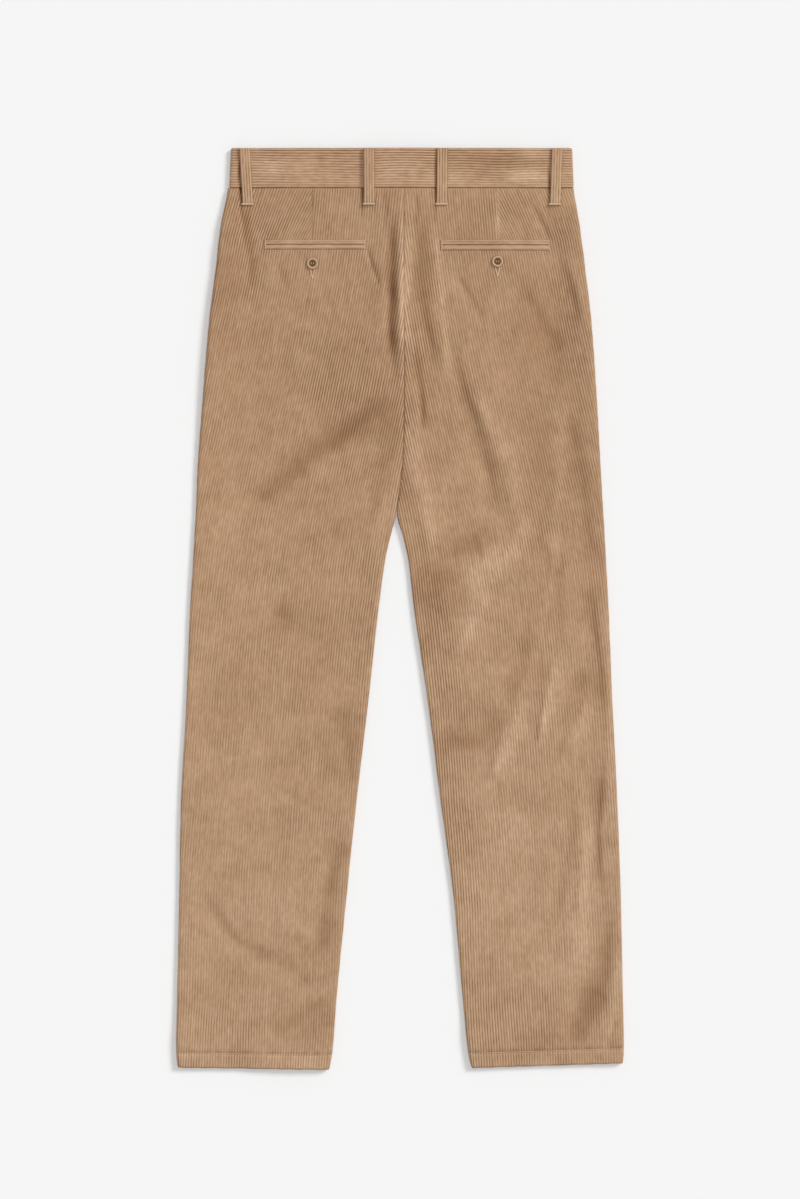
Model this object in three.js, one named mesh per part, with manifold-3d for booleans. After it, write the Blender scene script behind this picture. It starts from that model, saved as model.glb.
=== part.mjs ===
// Corduroy trousers laid flat on a floor with their back uppermost, in millimetres, +Z up.
// The waist points to +Y and the hems to -Y. The floor is Z = 0,
// and the origin is the middle of the garment on it.
// "Left" is the wearer's left, at -X. A "drop" is a distance down the garment from the top edge of the back
// waistband.
import * as THREE from "three";
import { mergeVertices } from "three/addons/utils/BufferGeometryUtils.js";
import Module from "manifold-3d";

const wasm = await Module();
wasm.setup();

// Driving dimensions of the garment.
const SIDE_LENGTH = 1068;
const BAND_HEIGHT = 46;
const CLOTH = 1.6;
const BAND_WALL = 2.6;
const SEAM = 0.3;
const REST_GAP = 0.4;
const HEM_TURN_UP = 17;
const HEM_STEP = 1;
const HEM_PRESS = 0.2;
const HEM_LEFT = { outer: 1065.5, inner: 1068 };
const HEM_RIGHT = { outer: 1060.5, inner: 1066 };
const FRONT_DIP = 8;
const HALF_WAIST = 200;
const SIDE_SLOPE = 2;

// The rolled edges of a leg, and how far its two layers stand off each other.
const EDGE_RADIUS = 3.9;
const EDGE_STEPS = 3;
const FLAT_EDGE_STEP = 2.6;
const SEAM_HEIGHT = 3.6;
const BASE_LOFT = 2;
const ROLL_HEIGHT = 2.2;
const ROLL_WIDTH = 20;
const LOFT_SOFTNESS = 0.7;
const PRESSED_LOFT = 1;
const BAND_LOFT = 0.4;
const BAND_ROLL_SHARE = 0.7;

// Where the back is pressed flat: down to the first drop at the waist, and up from the hem over a length.
const PRESSED_WAIST = { from: 20, to: 90 };
const PRESSED_HEM = 70;
const HEM_ROOM = { from: 75, full: 29 };

// The crotch: between these drops the seat seam opens into two rolled leg edges.
const CROTCH_DROP = 335;
const LEGS_PART_DROP = 385;

// Belt loops, pocket welts, buttons, the fly and its zip.
const LOOP_WIDTH = 12.5;
const LOOP_THICKNESS = 2;
const LOOP_RISE = 1.2;
const LOOP_TAIL = 20;
const LOOP_BULGE = 2.2;
const LOOP_ARCH = { rising: 0.35, falling: 0.6, flat: 0.9 };
const LOOP_SETTLE = { from: 6, to: 8 };
const REST_CLEARANCE = 0.1;
const WELT_THICKNESS = 1.3;
const WELT_SLIT = 0.6;
const BUTTON_RADIUS = 7;
const BUTTON_THICKNESS = 2.4;
const BUTTON_CLEARANCE = 0.2;
const WAIST_BUTTON_RADIUS = 8.5;
const WAIST_BUTTON_OFF = -2;
const FLY_END = 215;
const FLY_LAP = 8;
const FLY_UNDERLAP = 15;
const BAND_LAP = 14;
const BAND_UNDERLAP = 28;
const FLY_TAPER = { from: 2, to: -24 };
const ZIP_THICKNESS = 1.2;
const ZIP_ENDS = { top: 4, foot: 26 };
const ZIP_INSET = { under: 2, lap: 3 };

// How far the layers below raise those above, and over what distances each rise fades out.
const WAIST_LIFT = BUTTON_THICKNESS + SEAM;
const LIFT_DROP = { full: 78, end: 155 };
const LIFT_X = { full: 128, end: 172 };
const FLY_RISE = CLOTH + ZIP_THICKNESS + 2 * SEAM;
const BAND_RISE = BAND_WALL + SEAM;
const BAND_FADE = { full: 60, end: 92 };
const LAP_FADE = { full: 4, end: 30 };
const UNDERLAP_FADE = { full: 1, end: 26 };
const FLY_END_FADE = { full: 6, end: 38 };

// A button's outline, as shares of its radius and thickness, and its holes, as shares of its radius.
const BUTTON_PROFILE = [
  [0, 0],
  [0.8, 0],
  [1, 0.4],
  [1, 0.75],
  [0.9, 1],
  [0.75, 1],
  [0.62, 0.7],
  [0, 0.62],
];
const BUTTON_SIDES = 20;
const HOLE_OFFSET = 0.22;
const HOLE_RADIUS = 0.12;
const HOLE_SIDES = 6;

const TOP_Y = (SIDE_LENGTH - LOOP_RISE) / 2;

// The outline of the two legs as they lie, seen from above: their outer edges, and the middle and width of the
// gap between them.
const OUTLINE = [
  { drop: 0, outerLeft: -196.5, centre: 4.5, gap: 0, outerRight: 200 },
  { drop: 46, outerLeft: -199.5, centre: 4.5, gap: 0, outerRight: 201.5 },
  { drop: 90, outerLeft: -208, centre: 4.5, gap: 0, outerRight: 208.5 },
  { drop: 145, outerLeft: -214.5, centre: 4.5, gap: 0, outerRight: 215.5 },
  { drop: 200, outerLeft: -221.5, centre: 5, gap: 0, outerRight: 222 },
  { drop: 285, outerLeft: -228.5, centre: 5, gap: 0, outerRight: 228 },
  { drop: 365, outerLeft: -234.5, centre: 3, gap: 0, outerRight: 232.5 },
  { drop: 424, outerLeft: -237, centre: -4.1, gap: 1, outerRight: 236 },
  { drop: 450, outerLeft: -238.5, centre: -3.8, gap: 14, outerRight: 237.5 },
  { drop: 477, outerLeft: -240, centre: -3.8, gap: 26.5, outerRight: 239 },
  { drop: 535, outerLeft: -243.5, centre: -4.3, gap: 41, outerRight: 242 },
  { drop: 645, outerLeft: -248, centre: -2.2, gap: 69.5, outerRight: 246.5 },
  { drop: 755, outerLeft: -254, centre: -1.7, gap: 96.5, outerRight: 252 },
  { drop: 865, outerLeft: -256, centre: 0, gap: 123, outerRight: 256 },
  { drop: 980, outerLeft: -258.5, centre: -0.4, gap: 145, outerRight: 258.5 },
  { drop: 1050, outerLeft: -259.5, centre: 0.3, gap: 157.5, outerRight: 259.5 },
  { drop: 1068, outerLeft: -257.5, centre: 0.8, gap: 165.5, outerRight: 257.5 },
];

// The largest folds of the back: each runs from (x0, drop0) to (x1, drop1), bowed sideways. A trough's height
// is negative, and a fold fades out over a quarter of its length at each end.
const FOLD_TAPER = 0.25;
const FOLDS = [
  { fold: "seat seam ridge", x0: 1, drop0: 60, x1: 2, drop1: 290, bow: 0, width: 9, height: 4.5 },
  { fold: "trough left of the seam", x0: -7, drop0: 80, x1: -3, drop1: 275, bow: 4, width: 5, height: -4.5 },
  { fold: "right seat trough", x0: 14, drop0: 105, x1: 42, drop1: 225, bow: 2, width: 6, height: -2.6 },
  { fold: "right seat ridge", x0: 33, drop0: 115, x1: 52, drop1: 230, bow: 2, width: 8, height: 2.2 },
  { fold: "crotch crease", x0: 13, drop0: 235, x1: 20, drop1: 345, bow: -6, width: 6, height: -2.8 },
  { fold: "long thigh trough", x0: 62, drop0: 205, x1: 126, drop1: 455, bow: -5, width: 9, height: -2.4 },
  { fold: "long thigh ridge", x0: 86, drop0: 250, x1: 142, drop1: 470, bow: -5, width: 10, height: 1.8 },
  { fold: "outer hip trough", x0: 163, drop0: 160, x1: 221, drop1: 540, bow: 8, width: 11, height: -2 },
  { fold: "outer knee trough", x0: 219, drop0: 500, x1: 236, drop1: 850, bow: 3, width: 9, height: -2.6 },
  { fold: "outer shin trough", x0: 240, drop0: 850, x1: 212, drop1: 1040, bow: -6, width: 10, height: -2.4 },
  { fold: "knee ridge", x0: 130, drop0: 452, x1: 62, drop1: 512, bow: 4, width: 11, height: 2 },
  { fold: "inner knee trough", x0: 60, drop0: 470, x1: 36, drop1: 560, bow: 4, width: 12, height: -1.5 },
  { fold: "back of knee trough", x0: 156, drop0: 600, x1: 104, drop1: 705, bow: 5, width: 10, height: -1.5 },
  { fold: "shin trough", x0: 200, drop0: 720, x1: 176, drop1: 985, bow: -8, width: 9, height: -1.6 },
  { fold: "left thigh trough", x0: -52, drop0: 305, x1: -150, drop1: 392, bow: -4, width: 11, height: -2 },
  { fold: "left thigh ridge", x0: -46, drop0: 345, x1: -130, drop1: 415, bow: -3, width: 12, height: 1.2 },
  { fold: "left shin trough", x0: -236, drop0: 865, x1: -88, drop1: 992, bow: 8, width: 9, height: -1.5 },
  { fold: "inner shin trough", x0: -52, drop0: 765, x1: -88, drop1: 860, bow: 3, width: 9, height: -1.3 },
  { fold: "left hip trough", x0: -186, drop0: 62, x1: -176, drop1: 160, bow: 2, width: 7, height: -1.6 },
];

// The belt loops of the back, by the middle of each at its top and at its foot.
const BACK_LOOPS = [
  { name: "belt_loop_side_left", topX: -180, footX: -176 },
  { name: "belt_loop_back_left", topX: -36, footX: -35.5 },
  { name: "belt_loop_back_right", topX: 49, footX: 48.5 },
  { name: "belt_loop_side_right", topX: 182, footX: 180 },
];
const FRONT_LOOPS = [
  { name: "belt_loop_front_left", topX: -96, footX: -96 },
  { name: "belt_loop_front_right", topX: 104, footX: 104 },
];

// The double-welt back pockets, and the button under each.
const POCKETS = [
  { side: "left", fromX: -157, toX: -40, drop: 106.3, height: 11, buttonX: -101.5, buttonDrop: 133.7 },
  { side: "right", fromX: 47.5, toX: 173.5, drop: 106, height: 12.5, buttonX: 113, buttonDrop: 131.5 },
];

const clamp01 = (t) => Math.min(1, Math.max(0, t));
const mix = (a, b, t) => a + (b - a) * t;

/** Rises smoothly from 0 at a to 1 at b. */
function ease(a, b, value) {
  const t = clamp01((value - a) / (b - a));
  return t * t * (3 - 2 * t);
}

/** Reads one column of a table at a drop, on a smooth curve through its rows. */
function read(table, column, drop) {
  const last = table.length - 1;
  let i = 0;
  while (i < last - 1 && table[i + 1].drop < drop) i += 1;
  const slope = (k) => {
    const a = table[Math.max(0, k - 1)];
    const b = table[Math.min(last, k + 1)];
    return (b[column] - a[column]) / (b.drop - a.drop);
  };
  const from = table[i];
  const to = table[i + 1];
  const span = to.drop - from.drop;
  const t = clamp01((drop - from.drop) / span);
  const t2 = t * t;
  const t3 = t2 * t;
  return (
    (2 * t3 - 3 * t2 + 1) * from[column] +
    (t3 - 2 * t2 + t) * span * slope(i) +
    (3 * t2 - 2 * t3) * to[column] +
    (t3 - t2) * span * slope(i + 1)
  );
}

/** The height that one fold adds at a point of the back. */
function foldHeight(row, x, drop) {
  const alongX = row.x1 - row.x0;
  const alongDrop = row.drop1 - row.drop0;
  const length = Math.hypot(alongX, alongDrop);
  const t = ((x - row.x0) * alongX + (drop - row.drop0) * alongDrop) / (length * length);
  if (t <= 0 || t >= 1) return 0;
  const across = ((x - row.x0) * alongDrop - (drop - row.drop0) * alongX) / length;
  const off = (across - row.bow * 4 * t * (1 - t)) / row.width;
  return row.height * ease(0, FOLD_TAPER, t) * ease(1, 1 - FOLD_TAPER, t) * Math.exp(-off * off);
}

/** How far the front layer is held up at the waist by its loops and button. */
function waistLift(x, drop) {
  return WAIST_LIFT * ease(LIFT_DROP.end, LIFT_DROP.full, drop) * ease(LIFT_X.end, LIFT_X.full, Math.abs(x));
}

/** The outer edge of the left leg at a drop. */
const outerLeft = (drop) => read(OUTLINE, "outerLeft", drop);

/** The outer edge of the right leg at a drop. */
const outerRight = (drop) => read(OUTLINE, "outerRight", drop);

/** The middle line of the front and back at a drop. */
const centreLine = (drop) => read(OUTLINE, "centre", drop);

/** Half the width of the gap between the legs at a drop. */
const halfGap = (drop) => Math.max(0, read(OUTLINE, "gap", drop)) / 2;

/** How much of a piece is raised over one that it laps, at a distance from the middle line, from 0 to 1. */
function overLap(off, lap, underlap) {
  const right = ease(lap + LAP_FADE.end, lap + LAP_FADE.full, off);
  return right * ease(-underlap - UNDERLAP_FADE.end, -underlap - UNDERLAP_FADE.full, off);
}

/** How far the right front is raised where the left front laps under it at the fly. */
function flyRise(x, drop) {
  const above = ease(FLY_END + FLY_END_FADE.end, FLY_END + FLY_END_FADE.full, drop);
  return FLY_RISE * overLap(x - centreLine(drop), FLY_LAP, FLY_UNDERLAP) * above;
}

/** How far the right end of the front waistband is raised over its left end. */
function bandRise(x) {
  return BAND_RISE * overLap(x - centreLine(0), BAND_LAP, BAND_UNDERLAP);
}

/** How far the front stands up under the back, at the fly and where its waistband reaches lower. */
function frontStack(x, drop) {
  const nearBand = ease(BAND_FADE.end, BAND_FADE.full, drop);
  return Math.max(flyRise(x, drop), (bandRise(x) + BAND_WALL - CLOTH) * nearBand);
}

/** How much of the turned-up hem's second thickness a layer has to make room for. */
function hemRoom(drop) {
  return CLOTH * ease(SIDE_LENGTH - HEM_ROOM.from, SIDE_LENGTH - HEM_ROOM.full, drop);
}

/** The swell of the back layer beside a rolled edge. */
function edgeRoll(distance) {
  const off = (distance - EDGE_RADIUS) / ROLL_WIDTH;
  return ROLL_HEIGHT * Math.exp(-off * off);
}

/** How far the seat seam has turned into a rolled leg edge at a drop, from 0 to 1. */
function innerRolled(drop) {
  return ease(CROTCH_DROP, LEGS_PART_DROP, drop);
}

/** The outer face of the back layer. */
function backTop(x, drop) {
  const rest = 2 * CLOTH + REST_GAP + waistLift(x, drop) + frontStack(x, drop) + 2 * hemRoom(drop);
  const outer = Math.min(x - outerLeft(drop), outerRight(drop) - x);
  const inner = Math.abs(x - centreLine(drop)) - halfGap(drop);
  const belowWaist = ease(PRESSED_WAIST.from, PRESSED_WAIST.to, drop);
  const aboveHem = ease(SIDE_LENGTH, SIDE_LENGTH - PRESSED_HEM, drop);
  let loft = mix(PRESSED_LOFT, BASE_LOFT, belowWaist * aboveHem);
  for (const row of FOLDS) loft += foldHeight(row, x, drop);
  loft += edgeRoll(outer) + edgeRoll(inner) * innerRolled(drop);
  return rest + (loft + Math.hypot(loft, LOFT_SOFTNESS)) / 2;
}

/** The outer face of the back waistband. */
function bandTop(x) {
  const outer = Math.min(x - outerLeft(0), outerRight(0) - x);
  const rest = 2 * BAND_WALL + REST_GAP + waistLift(x, 0) + bandRise(x);
  return rest + BAND_LOFT + BAND_ROLL_SHARE * edgeRoll(outer);
}

/** How far the front of the waist dips below the back at x. */
function frontDip(x) {
  return FRONT_DIP * clamp01(1 - (x / HALF_WAIST) ** 2);
}

/** A closed mesh from two grids of points, its outer and its inner face, joined round their rims. */
function closedWall(outer, inner) {
  const rows = outer.length;
  const columns = outer[0].length;
  const positions = [];
  for (const grid of [outer, inner])
    for (const row of grid)
      for (const p of row) positions.push(p.x, p.y, p.z);
  const at = (face, i, j) => (face * rows + i) * columns + j;
  const faces = [];
  const quad = (a, b, c, d) => faces.push(a, b, c, a, c, d);
  for (let i = 0; i + 1 < rows; i += 1)
    for (let j = 0; j + 1 < columns; j += 1) {
      quad(at(0, i, j), at(0, i + 1, j), at(0, i + 1, j + 1), at(0, i, j + 1));
      quad(at(1, i, j), at(1, i, j + 1), at(1, i + 1, j + 1), at(1, i + 1, j));
    }
  for (let i = 0; i + 1 < rows; i += 1) {
    quad(at(0, i, 0), at(1, i, 0), at(1, i + 1, 0), at(0, i + 1, 0));
    quad(at(0, i + 1, columns - 1), at(1, i + 1, columns - 1), at(1, i, columns - 1), at(0, i, columns - 1));
  }
  for (let j = 0; j + 1 < columns; j += 1) {
    quad(at(0, 0, j + 1), at(1, 0, j + 1), at(1, 0, j), at(0, 0, j));
    quad(at(0, rows - 1, j), at(1, rows - 1, j), at(1, rows - 1, j + 1), at(0, rows - 1, j + 1));
  }
  const geometry = new THREE.BufferGeometry();
  geometry.setAttribute("position", new THREE.Float32BufferAttribute(positions, 3));
  geometry.setIndex(facingOut(positions, faces));
  geometry.computeVertexNormals();
  return geometry;
}

/** The faces, turned round if the mesh they make is inside out. */
function facingOut(positions, faces) {
  const a = new THREE.Vector3();
  const b = new THREE.Vector3();
  const c = new THREE.Vector3();
  let volume = 0;
  for (let i = 0; i < faces.length; i += 3) {
    a.fromArray(positions, faces[i] * 3);
    b.fromArray(positions, faces[i + 1] * 3);
    c.fromArray(positions, faces[i + 2] * 3);
    volume += a.dot(b.cross(c));
  }
  if (volume < 0)
    for (let i = 0; i < faces.length; i += 3) [faces[i + 1], faces[i + 2]] = [faces[i + 2], faces[i + 1]];
  return faces;
}

/** The drops of a panel's rows, closer together towards the waist, with a step where the hem turns up. */
function panelRows(count) {
  const crowding = 1.12;
  const shares = [];
  const body = 1 - (HEM_TURN_UP + HEM_STEP) / SIDE_LENGTH;
  for (let i = 0; i <= count; i += 1) shares.push(body * Math.pow(i / count, crowding));
  shares.push(1 - HEM_TURN_UP / SIDE_LENGTH, 1);
  return shares;
}

/** The places across a panel, from its outer edge at 0 to its inner edge at 1, closer towards the latter. */
function panelColumns(count, crowding) {
  const shares = [];
  for (let i = 0; i <= count; i += 1) shares.push(1 - Math.pow(1 - i / count, crowding));
  return shares;
}

/**
 * One leg panel of a layer: a wall of cloth whose long edges roll round to the side seam and the inseam.
 * `height` gives its outer face, `up` is 1 for the back layer and -1 for the front, `top` gives the drop of its
 * upper edge, and `outerAt` and `innerAt` give its two long edges at a drop.
 */
function legPanel({ side, height, up, top, outerAt, innerAt, rows, columns, crowding }) {
  const hem = side === "left" ? HEM_LEFT : HEM_RIGHT;
  const shares = panelRows(rows);
  const sides = [0, 1].map((depthShare) =>
    shares.map((share, rowIndex) => {
      const line = [];
      const turnedUp = rowIndex >= shares.length - 2;
      const depth = depthShare * (turnedUp ? 2 * CLOTH - HEM_PRESS : CLOTH);
      const outerDrop = mix(top(outerAt(0)), hem.outer, share);
      const innerDrop = mix(top(innerAt(0)), hem.inner, share);
      const outer = outerAt(outerDrop);
      const inner = innerAt(innerDrop);
      const inward = Math.sign(inner - outer);
      const hemAt = (x) => mix(hem.outer, hem.inner, clamp01((x - outer) / (inner - outer)));
      const dropAt = (x) => mix(top(x), hemAt(x), share);
      const point = (x, z) => new THREE.Vector3(x, TOP_Y - dropAt(x), z);
      const face = (x) => height(x, dropAt(x)) - up * depth;
      const edge = (start, direction, step, rolled) => {
        const angle = (Math.PI / 2) * (step / EDGE_STEPS);
        const seamZ = SEAM_HEIGHT + waistLift(start, dropAt(start)) + (up > 0 ? SEAM : 0);
        const crest = height(start + direction * EDGE_RADIUS, dropAt(start));
        const arcX = start + direction * (EDGE_RADIUS - (EDGE_RADIUS - depth) * Math.cos(angle));
        const arcZ = seamZ + (crest - seamZ - up * depth) * Math.sin(angle);
        const flatX = start + direction * step * FLAT_EDGE_STEP;
        return point(mix(flatX, arcX, rolled), mix(face(flatX), arcZ, rolled));
      };
      const rolled = innerRolled(innerDrop);
      const from = outer + inward * EDGE_RADIUS;
      const to = inner - inward * mix(EDGE_STEPS * FLAT_EDGE_STEP, EDGE_RADIUS, rolled);
      for (let step = 0; step < EDGE_STEPS; step += 1) line.push(edge(outer, inward, step, 1));
      for (const across of panelColumns(columns, crowding)) {
        const x = mix(from, to, across);
        line.push(point(x, face(x)));
      }
      for (let step = EDGE_STEPS - 1; step >= 0; step -= 1) line.push(edge(inner, -inward, step, rolled));
      return line;
    }),
  );
  return closedWall(sides[0], sides[1]);
}

/** A strip of cloth at the height `under`, over the places that `place(u, v)` gives, u across and v down. */
function strip(place, under, thickness, across, down) {
  const grids = [thickness, 0].map((raise) =>
    down.map((v) =>
      across.map((u) => {
        const { x, drop } = place(u, v);
        return new THREE.Vector3(x, TOP_Y - drop, under(x, drop, v) + raise);
      }),
    ),
  );
  return closedWall(grids[0], grids[1]);
}

/** Evenly spaced numbers from 0 to 1. */
function steps(count) {
  return Array.from({ length: count + 1 }, (_, i) => i / count);
}

/** A three.js geometry as a solid that can be cut. */
function toSolid(geometry) {
  const bare = new THREE.BufferGeometry();
  bare.setAttribute("position", geometry.toNonIndexed().getAttribute("position"));
  const merged = mergeVertices(bare, 1e-4);
  return new wasm.Manifold(
    new wasm.Mesh({
      numProp: 3,
      vertProperties: merged.attributes.position.array,
      triVerts: new Uint32Array(merged.index.array),
    }),
  );
}

/** A cut solid as a three.js geometry again. */
function toGeometry(solid) {
  const mesh = solid.getMesh();
  const geometry = new THREE.BufferGeometry();
  geometry.setAttribute("position", new THREE.Float32BufferAttribute(Array.from(mesh.vertProperties), 3));
  geometry.setIndex(Array.from(mesh.triVerts));
  geometry.computeVertexNormals();
  return geometry;
}

/** A four-hole button lying flat, its back at Z = 0, with a raised rim round a dished middle. */
function buttonGeometry(radius, thickness) {
  const profile = BUTTON_PROFILE.map(([r, z]) => new THREE.Vector2(r * radius, z * thickness));
  const body = new THREE.LatheGeometry(profile, BUTTON_SIDES).rotateX(Math.PI / 2);
  let solid = toSolid(body);
  const offset = radius * HOLE_OFFSET;
  const holeRadius = radius * HOLE_RADIUS;
  for (const sx of [-1, 1])
    for (const sy of [-1, 1]) {
      const hole = new THREE.CylinderGeometry(holeRadius, holeRadius, thickness * 3, HOLE_SIDES);
      hole.rotateX(Math.PI / 2).translate(sx * offset, sy * offset, 0);
      solid = solid.subtract(toSolid(hole));
    }
  return toGeometry(solid);
}

const corduroy = new THREE.MeshStandardMaterial({ color: 0xb38c66, roughness: 0.9, metalness: 0 });
const zipTape = new THREE.MeshStandardMaterial({ color: 0x956f4e, roughness: 0.9, metalness: 0 });
const horn = new THREE.MeshStandardMaterial({ color: 0x9a7350, roughness: 0.45, metalness: 0 });

const trousers = new THREE.Group();

/** Adds one named piece to the garment. */
function addPiece(name, geometry, material = corduroy) {
  const mesh = new THREE.Mesh(geometry, material);
  mesh.name = name;
  trousers.add(mesh);
  return mesh;
}

/** The inner edge of a leg at a drop, half a seam from the middle line where the two meet. */
function innerEdge(side, drop) {
  const sign = side === "left" ? -1 : 1;
  return centreLine(drop) + sign * (halfGap(drop) + SEAM / 2);
}

/** The two back leg panels. */
function addBacks() {
  const top = () => BAND_HEIGHT + SEAM;
  const common = { height: backTop, up: 1, top, rows: 44, columns: 13, crowding: 1.5 };
  for (const [side, outerAt] of [["left", outerLeft], ["right", outerRight]]) {
    const innerAt = (drop) => innerEdge(side, drop);
    addPiece(`back_${side}`, legPanel({ ...common, side, outerAt, innerAt }));
  }
}

/** The two front leg panels. The left one laps under the right one at the fly. */
function addFronts() {
  const top = (x) => BAND_HEIGHT + SEAM + frontDip(x);
  const common = { up: -1, top, rows: 30, columns: 8, crowding: 1.35 };
  const lapped = (drop) => ease(FLY_END + FLY_TAPER.from, FLY_END + FLY_TAPER.to, drop);
  const leftInner = (drop) => innerEdge("left", drop) + FLY_LAP * lapped(drop);
  const rightInner = (drop) => innerEdge("right", drop) - FLY_UNDERLAP * lapped(drop);
  const raised = (x, drop) => waistLift(x, drop) + flyRise(x, drop);
  addPiece(
    "front_left",
    legPanel({ ...common, side: "left", height: waistLift, outerAt: outerLeft, innerAt: leftInner }),
  );
  addPiece(
    "front_right",
    legPanel({ ...common, side: "right", height: raised, outerAt: outerRight, innerAt: rightInner }),
  );
}

/** A stretch of waistband between two x places, rolled at those ends that are side seams. */
function bandPiece({ fromX, toX, rollFrom, rollTo, face, up, dip, columns }) {
  const sides = [0, BAND_WALL].map((depth) =>
    steps(3).map((v) => {
      const line = [];
      const from = fromX + (rollFrom ? Math.sign(fromX) * SIDE_SLOPE * v : 0);
      const to = toX + (rollTo ? Math.sign(toX) * SIDE_SLOPE * v : 0);
      const drop = (x) => BAND_HEIGHT * v + dip(x);
      const point = (x, z) => new THREE.Vector3(x, TOP_Y - drop(x), z);
      const seamZ = SEAM_HEIGHT + (up > 0 ? SEAM : 0);
      const roll = (start, direction, step) => {
        const angle = (Math.PI / 2) * (step / EDGE_STEPS);
        const crest = face(start + direction * EDGE_RADIUS);
        return point(
          start + direction * (EDGE_RADIUS - (EDGE_RADIUS - depth) * Math.cos(angle)),
          seamZ + (crest - seamZ - up * depth) * Math.sin(angle),
        );
      };
      if (rollFrom) for (let step = 0; step < EDGE_STEPS; step += 1) line.push(roll(from, 1, step));
      const start = from + (rollFrom ? EDGE_RADIUS : 0);
      const end = to - (rollTo ? EDGE_RADIUS : 0);
      for (const across of steps(columns)) {
        const x = mix(start, end, across);
        line.push(point(x, face(x) - up * depth));
      }
      if (rollTo) for (let step = EDGE_STEPS - 1; step >= 0; step -= 1) line.push(roll(to, -1, step));
      return line;
    }),
  );
  return closedWall(sides[0], sides[1]);
}

/** The waistband: one piece across the back, and two across the front that lap at the fly. */
function addWaistband() {
  const left = outerLeft(0);
  const right = outerRight(0);
  const centre = centreLine(0);
  addPiece(
    "waistband_back",
    bandPiece({
      fromX: left, toX: right, rollFrom: true, rollTo: true,
      face: bandTop, up: 1, dip: () => 0, columns: 24,
    }),
  );
  addPiece(
    "waistband_front_left",
    bandPiece({
      fromX: left, toX: centre + BAND_LAP, rollFrom: true, rollTo: false,
      face: (x) => waistLift(x, 0), up: -1, dip: frontDip, columns: 12,
    }),
  );
  addPiece(
    "waistband_front_right",
    bandPiece({
      fromX: centre - BAND_UNDERLAP, toX: right, rollFrom: false, rollTo: true,
      face: (x) => waistLift(x, 0) + bandRise(x), up: -1, dip: frontDip, columns: 14,
    }),
  );
}

/** The belt loops: four arched over the back waistband, two pressed flat under the front one. */
function addLoops() {
  const foot = BAND_HEIGHT + LOOP_TAIL;
  const across = [-0.5, 0, 0.5];
  for (const row of BACK_LOOPS) {
    const place = (u, v) => ({
      x: mix(row.topX, row.footX, v) + u * LOOP_WIDTH,
      drop: mix(-LOOP_RISE, foot, v),
    });
    const seat = (x, drop) => {
      const past = ease(BAND_HEIGHT - LOOP_SETTLE.from, foot - LOOP_SETTLE.to, drop);
      return mix(bandTop(x), backTop(x, Math.max(drop, BAND_HEIGHT)), past);
    };
    const under = (x, drop, v) => {
      const highest = Math.max(...across.map((u) => seat(place(u, v).x, drop)));
      const arch = ease(0, LOOP_ARCH.rising, v) * ease(LOOP_ARCH.flat, LOOP_ARCH.falling, v);
      return highest + SEAM + REST_CLEARANCE + LOOP_BULGE * arch;
    };
    addPiece(row.name, strip(place, under, LOOP_THICKNESS, across, steps(10)));
  }
  for (const row of FRONT_LOOPS) {
    const place = (u, v) => ({
      x: row.topX + u * LOOP_WIDTH,
      drop: mix(-LOOP_RISE, foot, v) + frontDip(row.topX),
    });
    addPiece(row.name, strip(place, () => 0, LOOP_THICKNESS, across, steps(4)));
  }
}

/** The back pockets: an upper and a lower welt with a slit between them, and a button below. */
function addPockets() {
  const above = (x, drop) => backTop(x, drop) + SEAM + REST_CLEARANCE;
  for (const row of POCKETS) {
    const weltHeight = (row.height - WELT_SLIT) / 2;
    for (const [which, start] of [["upper", 0], ["lower", weltHeight + WELT_SLIT]]) {
      const place = (u, v) => ({ x: mix(row.fromX, row.toX, u), drop: row.drop + start + weltHeight * v });
      addPiece(`pocket_${row.side}_${which}_welt`, strip(place, above, WELT_THICKNESS, steps(16), steps(1)));
    }
    const shape = buttonGeometry(BUTTON_RADIUS, BUTTON_THICKNESS);
    const button = addPiece(`pocket_button_${row.side}`, shape, horn);
    const around = [-BUTTON_RADIUS, 0, BUTTON_RADIUS];
    const nearby = around.flatMap((i) => around.map((j) => backTop(row.buttonX + i, row.buttonDrop + j)));
    button.position.set(row.buttonX, TOP_Y - row.buttonDrop, Math.max(...nearby) + SEAM + BUTTON_CLEARANCE);
  }
}

/** The zip under the fly's lap, and the button on the front of the waistband. */
function addFly() {
  const place = (u, v) => {
    const drop = mix(BAND_HEIGHT + FRONT_DIP + ZIP_ENDS.top, FLY_END - ZIP_ENDS.foot, v);
    return { x: centreLine(drop) + mix(ZIP_INSET.under - FLY_UNDERLAP, FLY_LAP - ZIP_INSET.lap, u), drop };
  };
  const under = (x, drop) => waistLift(x, drop) + CLOTH + SEAM;
  addPiece("fly_zip", strip(place, under, ZIP_THICKNESS, steps(1), steps(8)), zipTape);
  const button = addPiece("waist_button", buttonGeometry(WAIST_BUTTON_RADIUS, BUTTON_THICKNESS), horn);
  button.rotation.x = Math.PI;
  const middle = TOP_Y - BAND_HEIGHT / 2 - FRONT_DIP;
  button.position.set(centreLine(0) + WAIST_BUTTON_OFF, middle, BUTTON_THICKNESS);
}

addBacks();
addFronts();
addWaistband();
addLoops();
addPockets();
addFly();

export default trousers;
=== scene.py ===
"""Corduroy trousers laid flat with their back uppermost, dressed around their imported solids.

Lengths in the tables and classes are millimetres, and become metres where a mesh is written. "Left" is the
wearer's left, at -X. A "drop" is a distance down the garment from the top edge of the back waistband.
"""

import itertools
import logging
import math
from dataclasses import dataclass, field
from enum import Enum
from typing import Callable, Optional, Sequence

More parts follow.
